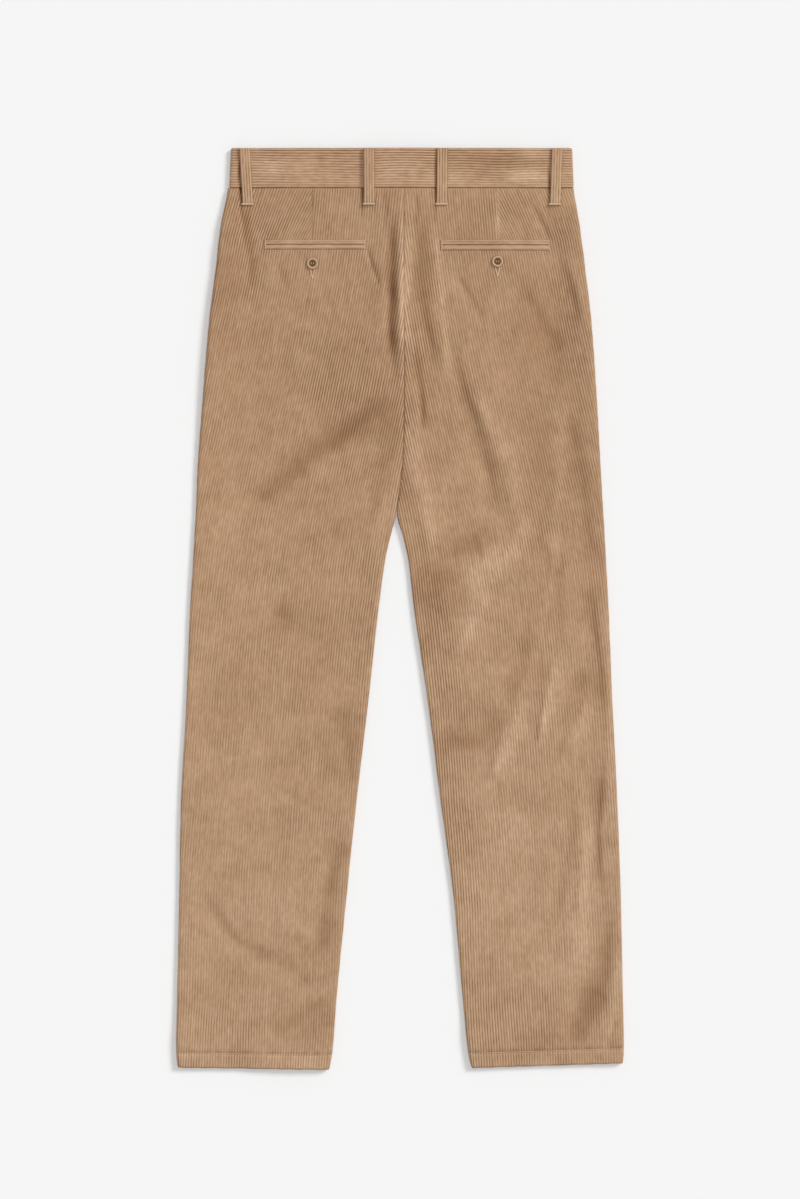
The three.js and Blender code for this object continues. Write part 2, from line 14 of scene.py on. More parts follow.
import bpy
import numpy as np
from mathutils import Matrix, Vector


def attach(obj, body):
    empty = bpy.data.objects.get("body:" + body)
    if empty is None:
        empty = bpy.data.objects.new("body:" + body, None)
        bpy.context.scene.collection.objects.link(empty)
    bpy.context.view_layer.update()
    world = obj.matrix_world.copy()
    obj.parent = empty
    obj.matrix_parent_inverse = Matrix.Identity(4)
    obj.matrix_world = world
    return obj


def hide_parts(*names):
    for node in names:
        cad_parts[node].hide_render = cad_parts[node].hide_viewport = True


Array = np.ndarray
Piece = bpy.types.Object
Socket = bpy.types.NodeSocket
Material = bpy.types.Material
Colour = tuple[float, float, float]

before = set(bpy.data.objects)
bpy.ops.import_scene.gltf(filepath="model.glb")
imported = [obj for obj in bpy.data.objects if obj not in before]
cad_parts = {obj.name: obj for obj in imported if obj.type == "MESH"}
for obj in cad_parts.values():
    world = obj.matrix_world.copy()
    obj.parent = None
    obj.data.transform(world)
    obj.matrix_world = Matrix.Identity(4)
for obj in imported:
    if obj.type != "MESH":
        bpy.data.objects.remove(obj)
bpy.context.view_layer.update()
LOG = logging.getLogger("trousers")

MM = 0.001
BODY = "root"

# The garment's driving sizes.
BAND_HEIGHT = 46.0
SIDE_LENGTH = 1068.0
CLOTH = 1.6
BAND_WALL = 2.6
SEAM = 0.3
REST_GAP = 0.4
HEM_TURN_UP = 17.0
FRONT_DIP = 8.0
LOOP_RISE = 1.2
TOP_Y = (SIDE_LENGTH - LOOP_RISE) / 2

# The rolled edges of a leg, and how far its two layers stand off each other.
EDGE_RADIUS = 3.9
SEAM_HEIGHT = 3.6
BASE_LOFT = 2.0
ROLL_HEIGHT = 2.2
ROLL_WIDTH = 20.0
LOFT_SOFTNESS = 0.7
ROLL_START_DROP = 398.0
ROLL_END_DROP = 436.0

# The lap at the fly and what lies under the waist.
BUTTON_THICKNESS = 2.4
ZIP_THICKNESS = 1.2
FLY_END = 215.0
FLY_LAP = 8.0
FLY_UNDERLAP = 15.0
BAND_LAP = 14.0
BAND_UNDERLAP = 28.0
WAIST_LIFT = BUTTON_THICKNESS + SEAM
FLY_RISE = CLOTH + ZIP_THICKNESS + 2 * SEAM
BAND_RISE = BAND_WALL + SEAM

# The corduroy: the distance from wale to wale, the height of the pile, the mesh's columns to a wale, and the
# inputs of the tree that raises the wales.
WALE_PITCH = 3.08
RIB = 0.62
RIB_SAMPLES = 4
WALE_SIZES = {
    "Height": RIB * MM,
    "Roundness": 2.2,
    "Unevenness": 0.5,
    "Patchiness": 0.6,
    "Unevenness Scale": 0.05,
    "Seed": 4.0,
}

# How strongly the painted shade between the waistband's wales shows, how light its pile is, and how far
# stitches stand off the front.
BAND_CLEAR = 0.24
BAND_TONE = 0.12
FRONT_STITCH_LIFT = 0.24


class Side(Enum):
    """A side of the wearer, by the sign of X there."""

    LEFT = -1
    RIGHT = 1


class Layer(Enum):
    """A layer of the flat garment, by the way its outer face looks along Z."""

    BACK = 1
    FRONT = -1


class Grain(Enum):
    """The way the wales run on a strip of cloth."""

    ALONG = "along"
    ACROSS = "across"


@dataclass(frozen=True)
class Station:
    """The outline at one drop: the legs' outer edges, and the middle and width of the gap between them."""

    drop: float
    outer_left: float
    centre: float
    gap: float
    outer_right: float


@dataclass(frozen=True)
class Lean:
    """How far the wales lean outwards at a drop, in degrees."""

    drop: float
    back: float
    front: float


@dataclass(frozen=True)
class Crease:
    """A trough or ridge along a path of X and drop points. A trough's height is negative.

    Its flanks fade over the breadths left and right of the path, as seen where that runs down the garment.
    """

    name: str
    height: float
    left: float
    right: float
    path: tuple[tuple[float, float], ...]
    taper: float = 0.24


@dataclass(frozen=True)
class Patch:
    """A soft patch of the cloth: its middle, its reach across and down, its turn in degrees, its strength."""

    x: float
    drop: float
    across: float
    down: float
    turn: float
    amount: float


@dataclass(frozen=True)
class Hem:
    """The drop of a hem's two corners."""

    outer: float
    inner: float


@dataclass(frozen=True)
class Stitch:
    """A kind of stitch: the step from one to the next, its sizes, and its turn off the path in degrees."""

    step: float
    length: float
    width: float
    thickness: float = 0.5
    turn: float = 0.0

    def sizes(self) -> dict[str, float]:
        """Its sizes in metres and its turn in radians, by the names of the stitch tree's inputs."""
        lengths = {"Step": self.step, "Length": self.length, "Width": self.width, "Thickness": self.thickness}
        return {**{name: size * MM for name, size in lengths.items()}, "Turn": math.radians(self.turn)}


TOPSTITCH = Stitch(2.6, 2.1, 0.42)
HEM_STITCH = Stitch(3.0, 2.7, 0.9)
FLY_STITCH = Stitch(3.0, 2.4, 0.8)
BUTTON_THREAD = Stitch(0.4, 0.8, 0.42, 0.34)
ZIP_TOOTH = Stitch(1.6, 0.9, 4.0, 0.25)
BAR_TACK = Stitch(0.6, 2.4, 0.85, 1.2, turn=90)
END_TACK = Stitch(0.6, 1.5, 0.7, turn=90)
BUTTONHOLE = Stitch(0.5, 1.6, 0.8, 0.8, turn=90)


OUTLINE = (
    Station(0, -196.5, 4.5, 0, 200),
    Station(46, -199.5, 4.5, 0, 201.5),
    Station(90, -208, 4.5, 0, 208.5),
    Station(145, -214.5, 4.5, 0, 215.5),
    Station(200, -221.5, 5, 0, 222),
    Station(285, -228.5, 5, 0, 228),
    Station(365, -234.5, 3, 0, 232.5),
    Station(424, -237, -4.1, 1, 236),
    Station(450, -238.5, -3.8, 14, 237.5),
    Station(477, -240, -3.8, 26.5, 239),
    Station(535, -243.5, -4.3, 41, 242),
    Station(645, -248, -2.2, 69.5, 246.5),
    Station(755, -254, -1.7, 96.5, 252),
    Station(865, -256, 0, 123, 256),
    Station(980, -258.5, -0.4, 145, 258.5),
    Station(1050, -259.5, 0.3, 157.5, 259.5),
    Station(1068, -257.5, 0.8, 165.5, 257.5),
)

LEANS = (
    Lean(0, 9.5, 3),
    Lean(100, 9.5, 3),
    Lean(180, 11, 3.5),
    Lean(300, 12.3, 4),
    Lean(400, 12, 4.5),
    Lean(450, 10, 4.5),
    Lean(490, 8, 4.5),
    Lean(550, 6.4, 4.5),
    Lean(640, 4.4, 4),
    Lean(740, 4.4, 4),
    Lean(820, 4, 3.5),
    Lean(900, 2, 2.5),
    Lean(990, 2.4, 2.4),
    Lean(1068, 3, 2.4),
)

HEMS = {Side.LEFT: Hem(1065.5, 1068.0), Side.RIGHT: Hem(1060.5, 1066.0)}

SEAT_CREASES = (
    Crease("seat seam ridge", 4.2, 8, 9, ((2, 52), (1, 120), (0, 200), (2, 262), (4, 300)), 0.3),
    Crease(
        "trough left of the seam", -2.9, 6, 6,
        ((-11, 66), (-12, 144), (-13, 212), (-9, 246), (-2, 272)), 0.34,
    ),
    Crease("right seat ridge", 2.3, 13, 6, ((36, 76), (42, 143), (45, 192), (51, 234), (58, 268))),
    Crease("right seat hollow", -1.9, 9, 8, ((29, 72), (20, 120), (22, 170), (34, 228), (41, 276))),
    Crease("first seat streak", -1.3, 5, 3.6, ((64, 145), (81, 173), (100, 206))),
    Crease("second seat streak", -1.2, 10, 8, ((129, 147), (154, 185), (169, 212), (181, 236), (172, 296))),
    Crease("right hip crease", -1.2, 6, 4.5, ((151, 62), (169, 98), (180, 116))),
    Crease("right hip line", -0.6, 6, 5, ((184, 128), (196, 165), (206, 204))),
    Crease("right hip ridge", 0.9, 5, 7, ((192, 118), (204, 160), (215, 214))),
    Crease("crotch crease", -1.9, 5.5, 5, ((14, 232), (23, 283), (25, 312), (20, 332))),
    Crease("left welt crease", -1.5, 2.4, 3.0, ((-40, 112), (-34, 132), (-28, 148), (-22, 163))),
    Crease("left loop crease", -1.3, 4.4, 4.4, ((-181, 62), (-178, 100), (-174, 136), (-178, 168))),
    Crease("left pocket crease", -0.8, 5, 5, ((-143, 132), (-137, 150), (-127, 178))),
    Crease("left seat pucker", -0.8, 4, 5, ((-94, 162), (-86, 176), (-75, 198))),
    Crease("right waist pucker", -1.0, 3.5, 3, ((16, 50), (19, 72), (14, 100))),
    Crease("left waist pucker", -0.9, 3, 4, ((-21, 50), (-17, 76), (-22, 98))),
    Crease("left seat swell", 0.9, 22, 26, ((-100, 190), (-112, 230), (-120, 290))),
)

THIGH_CREASES = (
    Crease(
        "long thigh trough", -1.7, 11, 8,
        ((50, 205), (64, 252), (78, 301), (92, 350), (105, 387), (114, 445)),
    ),
    Crease("long thigh ridge", 1.9, 9, 12, ((76, 262), (93, 304), (109, 344), (125, 381), (134, 444))),
    Crease("knee ridge", 2.3, 8, 12, ((150, 424), (132, 455), (119, 474), (86, 490), (66, 512))),
    Crease("inner knee ridge", 2.5, 6, 12, ((106, 512), (96, 532), (83, 552), (66, 577), (50, 588))),
    Crease("right inseam swell", 1.6, 9, 13, ((8, 334), (18, 380), (29, 431), (36, 484))),
    Crease("outer thigh trough", -1.9, 14, 10, ((192, 290), (198, 330), (206, 381), (217, 454), (223, 505))),
    Crease("outer thigh ridge", 1.2, 8, 7, ((187, 350), (181, 400), (175, 454), (185, 508))),
    Crease("outer knee line", -1.9, 13, 6, ((214, 498), (222, 545), (228, 590), (231, 632), (233, 676))),
    Crease(
        "left thigh trough", -2.5, 13, 11,
        ((-8, 284), (-61, 326), (-90, 346), (-113, 364), (-159, 404), (-193, 428)),
    ),
    Crease("left crotch hollow", -0.9, 14, 14, ((-16, 290), (-40, 322), (-66, 344))),
    Crease("left thigh ridge", 1.5, 5, 7, ((-72, 352), (-96, 366), (-114, 382))),
    Crease("left inseam hollow", -1.1, 10, 8, ((-20, 350), (-30, 400), (-44, 452))),
    Crease("right thigh hollow", -1.0, 14, 12, ((150, 300), (160, 350), (158, 410))),
    Crease("right knee hollow", -1.4, 9, 9, ((98, 462), (78, 468), (52, 470))),
)

SHIN_CREASES = (
    Crease("first knee streak", -1.4, 12, 7, ((148, 548), (142, 584), (136, 610), (126, 636), (118, 652))),
    Crease("back of knee crease", -1.2, 14, 12, ((36, 684), (66, 690), (92, 684), (114, 660), (122, 646))),
    Crease("first calf ridge", 1.9, 7, 12, ((146, 640), (128, 662), (119, 686), (112, 712), (100, 738))),
    Crease("second knee streak", -0.8, 9, 6, ((162, 586), (158, 622), (153, 652), (149, 690))),
    Crease("second calf ridge", 1.9, 5, 9, ((183, 584), (174, 620), (166, 660), (157, 704))),
    Crease("third calf ridge", 1.6, 5, 9, ((218, 640), (202, 674), (187, 704))),
    Crease("third knee streak", -1.2, 9, 7, ((214, 598), (204, 634), (190, 657), (176, 680))),
    Crease("upper knee streak", -0.9, 9, 7, ((184, 462), (182, 520), (185, 596))),
    Crease("inner knee line", -0.8, 4, 5, ((17, 528), (34, 532), (53, 544))),
    Crease("inner knee hollow", -0.9, 11, 10, ((30, 500), (50, 504), (66, 500))),
    Crease("outer shin line", -2.3, 13, 5, ((233, 700), (230, 746), (228, 795), (229, 838), (232, 874))),
    Crease(
        "outer ankle trough", -2.9, 18, 11,
        ((240, 868), (238, 912), (232, 948), (222, 990), (210, 1020), (197, 1056)),
    ),
    Crease("outer shin ridge", 1.3, 9, 10, ((215, 756), (212, 830), (207, 890), (194, 966))),
    Crease(
        "shin trough", -1.2, 9, 8,
        ((196, 730), (199, 766), (196, 798), (190, 831), (183, 876), (179, 912)),
    ),
    Crease("ankle ridge", 1.2, 8, 8, ((252, 930), (249, 970), (240, 1006))),
    Crease("ankle pucker", 0.5, 4, 5, ((250, 980), (242, 1010), (232, 1036))),
    Crease("second ankle pucker", -1.0, 3, 3, ((252, 1008), (244, 1030), (238, 1046))),
    Crease("right hem hollow", -0.8, 8, 10, ((120, 1036), (160, 1034), (196, 1038))),
    Crease(
        "left shin crease", -1.5, 10, 7,
        ((-240, 850), (-215, 888), (-191, 919), (-152, 938), (-121, 958), (-94, 984)),
    ),
    Crease("left shin swell", 1.3, 12, 10, ((-150, 895), (-118, 905), (-92, 925))),
    Crease(
        "left inner shin trough", -2.2, 12, 11,
        ((-60, 790), (-78, 830), (-88, 870), (-94, 914), (-99, 958)),
    ),
    Crease("left hem crease", -1.5, 6, 7, ((-80, 986), (-94, 992), (-116, 1006), (-160, 1028))),
    Crease("left calf crease", -0.8, 4, 5, ((-150, 742), (-128, 751), (-109, 762), (-84, 770), (-56, 772))),
    Crease("left inner knee crease", -0.9, 5, 4, ((-26, 576), (-42, 586), (-60, 597))),
    Crease("left knee hollow", -0.8, 15, 13, ((-146, 530), (-137, 545), (-128, 562))),
    Crease("left hem lift", 3.4, 20, 20, ((-190, 1066), (-140, 1066), (-96, 1068), (-70, 1068)), 0.4),
    Crease("left calf hollow", -0.9, 9, 9, ((-70, 640), (-62, 700), (-56, 740))),
)

FRONT_CREASES = (
    Crease("left lap hollow", 2.0, 8, 11, ((-14, 232), (-62, 262), (-118, 284), (-170, 330))),
    Crease("left lap line", -1.3, 7, 5, ((-22, 262), (-66, 288), (-116, 312), (-158, 352))),
    Crease("right lap hollow", 2.1, 9, 8, ((22, 236), (64, 258), (120, 292), (182, 318))),
    Crease("right thigh line", -1.2, 6, 8, ((34, 300), (70, 352), (112, 388), (150, 446))),
    Crease("left thigh ridge", 1.5, 11, 8, ((-60, 350), (-88, 410), (-132, 462), (-184, 484))),
    Crease("left knee hollow", 1.9, 9, 12, ((-80, 520), (-130, 548), (-196, 540))),
    Crease("left knee line", -1.2, 6, 6, ((-66, 560), (-104, 588), (-150, 590), (-190, 574))),
    Crease("right knee hollow", 2.0, 11, 8, ((70, 545), (122, 560), (190, 532))),
    Crease("right knee line", -1.1, 5, 8, ((84, 590), (128, 604), (172, 588))),
    Crease("left shin hollow", 1.5, 12, 9, ((-120, 700), (-146, 800), (-150, 930))),
    Crease("right shin hollow", 1.6, 9, 13, ((128, 690), (160, 790), (158, 940))),
    Crease("right ankle line", -1.3, 9, 6, ((224, 850), (216, 930), (196, 1004))),
    Crease("left fly hollow", 1.3, 6, 8, ((-40, 90), (-48, 150), (-42, 220))),
    Crease("right hip hollow", 1.4, 8, 6, ((120, 80), (134, 150), (128, 230))),
    Crease("left hip line", -1.0, 5, 7, ((-150, 84), (-164, 130), (-170, 196))),
)

# Soft patches of the pile's lightness on the back and the waistband: most are painted shade in creases and
# troughs and painted highlight along ridges, seams and lit edges; the broadest are uneven tone.
SHADE_AND_TONE_PATCHES = (
    Patch(128, 900, 130, 210, 0, -0.01),
    Patch(86, 676, 44, 15, -25, -0.07),
    Patch(127, 686, 11, 44, 24, 0.11),
    Patch(158, 668, 9, 40, 8, 0.07),
    Patch(38, 522, 26, 42, -10, -0.03),
    Patch(142, 752, 34, 12, 10, -0.06),
    Patch(206, 890, 20, 110, 4, 0.07),
    Patch(-150, 880, 130, 230, 0, -0.05),
    Patch(-110, 250, 90, 60, 0, -0.03),
    Patch(-136, 543, 17, 13, 60, -0.07),
    Patch(-134, 548, 60, 24, 0, -0.05),
    Patch(42, 510, 28, 36, -20, -0.08),
    Patch(33, 574, 18, 16, 0, -0.07),
    Patch(-44, 318, 36, 18, -38, -0.07),
    Patch(-86, 345, 34, 12, -35, -0.11),
    Patch(-142, 388, 38, 9, -40, -0.07),
    Patch(-92, 376, 32, 8, -33, 0.08),
    Patch(-205, 180, 18, 60, 0, -0.07),
    Patch(-180, 92, 2.4, 24, -4, -0.2),
    Patch(-164, 100, 6, 30, -4, 0.07),
    Patch(110, 480, 44, 18, -36, 0.18),
    Patch(86, 505, 18, 14, -40, 0.08),
    Patch(80, 458, 30, 12, -18, -0.1),
    Patch(21, 385, 12, 72, -11, 0.13),
    Patch(170, 205, 26, 34, -30, -0.08),
    Patch(28, 640, 26, 40, 10, 0.06),
    Patch(-180, 480, 40, 70, 10, 0.05),
    Patch(-70, 690, 22, 60, 0, -0.08),
    Patch(-195, 640, 30, 40, 0, -0.05),
    Patch(-150, 880, 60, 30, -10, 0.05),
    Patch(-105, 1015, 34, 22, -20, -0.08),
    Patch(60, 690, 46, 12, 5, -0.08),
    Patch(120, 800, 40, 70, 0, 0.07),
    Patch(70, 900, 40, 60, 0, 0.04),
    Patch(120, 420, 34, 40, 0, 0.03),
    Patch(200, 990, 24, 40, 20, -0.06),
    Patch(-200, 130, 22, 40, 0, -0.05),
    Patch(26, 115, 12, 40, 10, -0.08),
    Patch(150, 230, 40, 50, 0, -0.05),
    Patch(-120, 220, 60, 40, 0, 0.03),
    Patch(-150, 22, 18, 11, 0, 0.18),
    Patch(-10, 24, 22, 9, 0, 0.12),
    Patch(60, 36, 60, 6, 0, 0.06),
    Patch(-90, 8, 50, 5, 0, -0.08),
    Patch(110, 14, 50, 8, 0, -0.17),
    Patch(150, 32, 22, 7, 0, 0.2),
    Patch(158, 6, 18, 5, 0, 0.18),
    Patch(32, 22, 14, 12, 0, -0.06),
    Patch(3, 170, 4, 110, 0, 0.1),
    Patch(-4, 392, 4, 34, 5, 0.14),
    Patch(-22, 444, 7, 40, 10, 0.13),
    Patch(-12, 330, 12, 34, 0, -0.12),
    # A painted highlight along the right dart.
    Patch(113, 76, 1.7, 29, 0, 0.42),
    # Painted shadow down the left side of each back belt loop.
    Patch(-185.3, 38, 1.5, 38, -3.4, -0.9),
    Patch(-43.4, 38, 1.3, 36, 0, -0.75),
    Patch(41.4, 38, 1.3, 36, 0, -0.75),
    Patch(173.6, 38, 1.2, 36, 2, -0.7),
    Patch(82, 545, 9, 42, 30, 0.15),
    Patch(212, 1008, 9, 50, 20, -0.07),
    Patch(-29, 560, 3, 90, 6.4, 0.13),
    Patch(243, 650, 4, 110, -2, 0.12),
    Patch(168, 640, 7, 44, 14, 0.08),
    Patch(244, 985, 6, 40, 12, 0.1),
)

FRONT_PATCHES = (
    Patch(-120, 300, 70, 26, -20, -0.08),
    Patch(-60, 250, 60, 14, -24, 0.07),
    Patch(110, 292, 80, 20, 18, -0.09),
    Patch(-130, 520, 60, 36, 10, 0.08),
    Patch(-120, 572, 70, 18, -8, -0.07),
    Patch(128, 520, 50, 40, -10, 0.08),
    Patch(140, 580, 60, 16, 12, -0.08),
    Patch(-150, 800, 60, 160, 0, 0.04),
    Patch(150, 860, 50, 150, 0, 0.05),
    Patch(-60, 120, 40, 60, 0, -0.05),
    Patch(110, 130, 50, 40, 0, 0.05),
)

# How strongly the painted shade between the wales shows on the back panels, patch by patch.
CLEAR_PATCHES = (
    Patch(150, 1030, 110, 60, 0, 0.26),
    Patch(-170, 1035, 100, 60, 0, 0.18),
    Patch(-69, 262, 44, 66, 0, 0.42),
    Patch(-30, 330, 40, 40, -30, 0.22),
    Patch(5, 300, 13, 150, 0, 0.3),
    Patch(32, 165, 14, 70, 5, 0.3),
    Patch(-180, 118, 28, 66, -6, 0.44),
    Patch(-138, 74, 38, 24, 0, 0.36),
    Patch(112, 66, 46, 20, 0, 0.2),
    Patch(20, 250, 16, 60, -6, 0.24),
    Patch(196, 190, 14, 110, -4, 0.28),
    Patch(44, 560, 20, 110, -10, 0.4),
    Patch(64, 800, 26, 200, -5, 0.46),
    Patch(100, 1010, 30, 50, 0, 0.2),
    Patch(150, 700, 30, 90, 10, 0.12),
    Patch(-40, 560, 22, 90, 0, 0.18),
    Patch(-130, 440, 40, 40, 0, 0.08),
    Patch(-200, 430, 40, 150, 0, -0.22),
    Patch(-200, 760, 50, 160, 0, -0.16),
    Patch(70, 410, 34, 60, 0, -0.26),
    Patch(120, 240, 40, 70, -20, -0.16),
    Patch(200, 600, 30, 120, 0, -0.08),
)


def mix(a: Array, b: Array, t: Array) -> Array:
    """The value at share t of the way from a to b."""
    return a + (b - a) * t


def ease(a: float, b: float, value: Array) -> Array:
    """Rises smoothly from 0 at a to 1 at b."""
    t = np.clip((np.asarray(value, float) - a) / (b - a), 0, 1)
    return t * t * (3 - 2 * t)


def hump(distance: Array, reach: float) -> Array:
    """A smooth hump that is 1 at distance 0 and fades out past its reach."""
    return np.exp(-((distance / reach) ** 2))


def turned_down(distance: Array, radius: float) -> Array:
    """How far a rounded edge has turned down, from 1 at the edge to 0 at its radius."""
    off = np.clip((radius - distance) / radius, 0, 1)
    return 1 - np.sqrt(np.clip(1 - off * off, 0, 1))


def points_at(x: Array, drop: Array, z: Array) -> Array:
    """The points at an X, a drop and a height."""
    return np.stack([x, TOP_Y - drop, z], axis=-1)


def put_in_scene(name: str, data: bpy.types.ID) -> Piece:
    """Makes an object from a mesh, a lamp or a camera, and puts it in the scene."""
    piece = bpy.data.objects.new(name, data)
    bpy.context.scene.collection.objects.link(piece)
    return piece


def read(rows: Sequence, column: str, drop: Array) -> Array:
    """Reads one column of a table on a smooth curve through its rows.

    Args:
        rows: the table's rows, each with a drop.
        column: the name of the column.
        drop: where to read it.

    Returns:
        The column's value at each drop.
    """
    drops = np.array([row.drop for row in rows], float)
    values = np.array([getattr(row, column) for row in rows], float)
    last = len(rows) - 1
    before = np.maximum(np.arange(last + 1) - 1, 0)
    after = np.minimum(np.arange(last + 1) + 1, last)
    slopes = (values[after] - values[before]) / (drops[after] - drops[before])
    drop = np.asarray(drop, float)
    i = np.clip(np.searchsorted(drops[1:], drop, side="left"), 0, last - 1)
    span = drops[i + 1] - drops[i]
    t = np.clip((drop - drops[i]) / span, 0, 1)
    t2, t3 = t * t, t * t * t
    return (
        (2 * t3 - 3 * t2 + 1) * values[i]
        + (t3 - 2 * t2 + t) * span * slopes[i]
        + (3 * t2 - 2 * t3) * values[i + 1]
        + (t3 - t2) * span * slopes[i + 1]
    )


def smooth_path(points: Sequence[tuple[float, float]], count: int = 10) -> Array:
    """Points close together on a smooth curve through a path's points.

    Args:
        points: the path's points.
        count: how many steps to take between two of them.

    Returns:
        The points of the curve.
    """
    given = np.array(points, float)
    padded = np.concatenate([[2 * given[0] - given[1]], given, [2 * given[-1] - given[-2]]])
    t = np.linspace(0, 1, count, endpoint=False)[:, None]
    pieces = []
    for a, b, c, d in zip(padded, padded[1:], padded[2:], padded[3:]):
        square, cube = 2 * a - 5 * b + 4 * c - d, 3 * b - a - 3 * c + d
        pieces.append((2 * b + (c - a) * t + square * t**2 + cube * t**3) / 2)
    return np.concatenate([*pieces, given[-1:]])


@dataclass
class Relief:
    """The height that creases add to a layer, drawn once on a fine map, in millimetres."""

    creases: Sequence[Crease]
    step: float = 1.25
    half_width: float = 275.0
    unevenness: float = 0.3
    xs: Array = field(init=False)
    drops: Array = field(init=False)
    heights: Array = field(init=False)

    def __post_init__(self) -> None:
        """Draws every crease."""
        self.xs = np.arange(-self.half_width, self.half_width, self.step)
        self.drops = np.arange(0, SIDE_LENGTH + 12, self.step)
        self.heights = np.zeros((len(self.drops), len(self.xs)))
        for crease in self.creases:
            self._draw(crease)

    def _draw(self, crease: Crease) -> None:
        """Adds one crease to the map.

        Args:
            crease: the crease.
        """
        path = smooth_path(crease.path)
        reach = 2.7 * max(crease.left, crease.right)
        columns = (self.xs > path[:, 0].min() - reach) & (self.xs < path[:, 0].max() + reach)
        rows = (self.drops > path[:, 1].min() - reach) & (self.drops < path[:, 1].max() + reach)
        x, drop = np.meshgrid(self.xs[columns], self.drops[rows])
        steps = np.diff(path, axis=0)
        lengths = np.hypot(steps[:, 0], steps[:, 1])
        starts = np.concatenate([[0], np.cumsum(lengths)])
        nearest = np.full(x.shape, 1e9)
        along = np.zeros(x.shape)
        turned_right = np.zeros(x.shape, bool)
        for point, step, length, start in zip(path, steps, lengths, starts):
            off_x, off_drop = x - point[0], drop - point[1]
            t = np.clip((off_x * step[0] + off_drop * step[1]) / length**2, 0, 1)
            distance = np.hypot(off_x - t * step[0], off_drop - t * step[1])
            closer = distance < nearest
            nearest = np.where(closer, distance, nearest)
            along = np.where(closer, start + t * length, along)
            turned_right = np.where(closer, off_x * step[1] - off_drop * step[0] > 0, turned_right)
        share = along / starts[-1]
        ends = ease(0, crease.taper, share) * ease(1, 1 - crease.taper, share)
        first = crease.path[0]
        sway = 1 + self.unevenness * np.sin(along / 13 + first[0]) * np.sin(along / 31 + first[1])
        breadth = 1 + 0.22 * np.sin(along / 19 + crease.path[-1][0])
        breadth = breadth * np.where(turned_right, crease.right, crease.left)
        self.heights[np.ix_(rows, columns)] += crease.height * ends * sway * hump(nearest, breadth)

    def read(self, x: Array, drop: Array) -> Array:
        """Reads the map between its points.

        Args:
            x: each point's X.
            drop: each point's drop.

        Returns:
            The heights, in millimetres.
        """
        across = np.clip((x - self.xs[0]) / self.step, 0, len(self.xs) - 1.001)
        down = np.clip((drop - self.drops[0]) / self.step, 0, len(self.drops) - 1.001)
        i, j = np.floor(down).astype(int), np.floor(across).astype(int)
        u, v = across - j, down - i
        upper = mix(self.heights[i, j], self.heights[i, j + 1], u)
        lower = mix(self.heights[i + 1, j], self.heights[i + 1, j + 1], u)
        return mix(upper, lower, v)


def patch_sum(patches: Sequence[Patch], x: Array, drop: Array) -> Array:
    """What a table of patches adds up to at points of the garment."""
    total = np.zeros(np.broadcast(x, drop).shape)
    for patch in patches:
        turn = math.radians(patch.turn)
        off_x, off_drop = x - patch.x, drop - patch.drop
        across = (off_x * math.cos(turn) + off_drop * math.sin(turn)) / patch.across
        down = (off_drop * math.cos(turn) - off_x * math.sin(turn)) / patch.down
        total = total + patch.amount * np.exp(-((across**2 + down**2) ** 1.3))
    return total


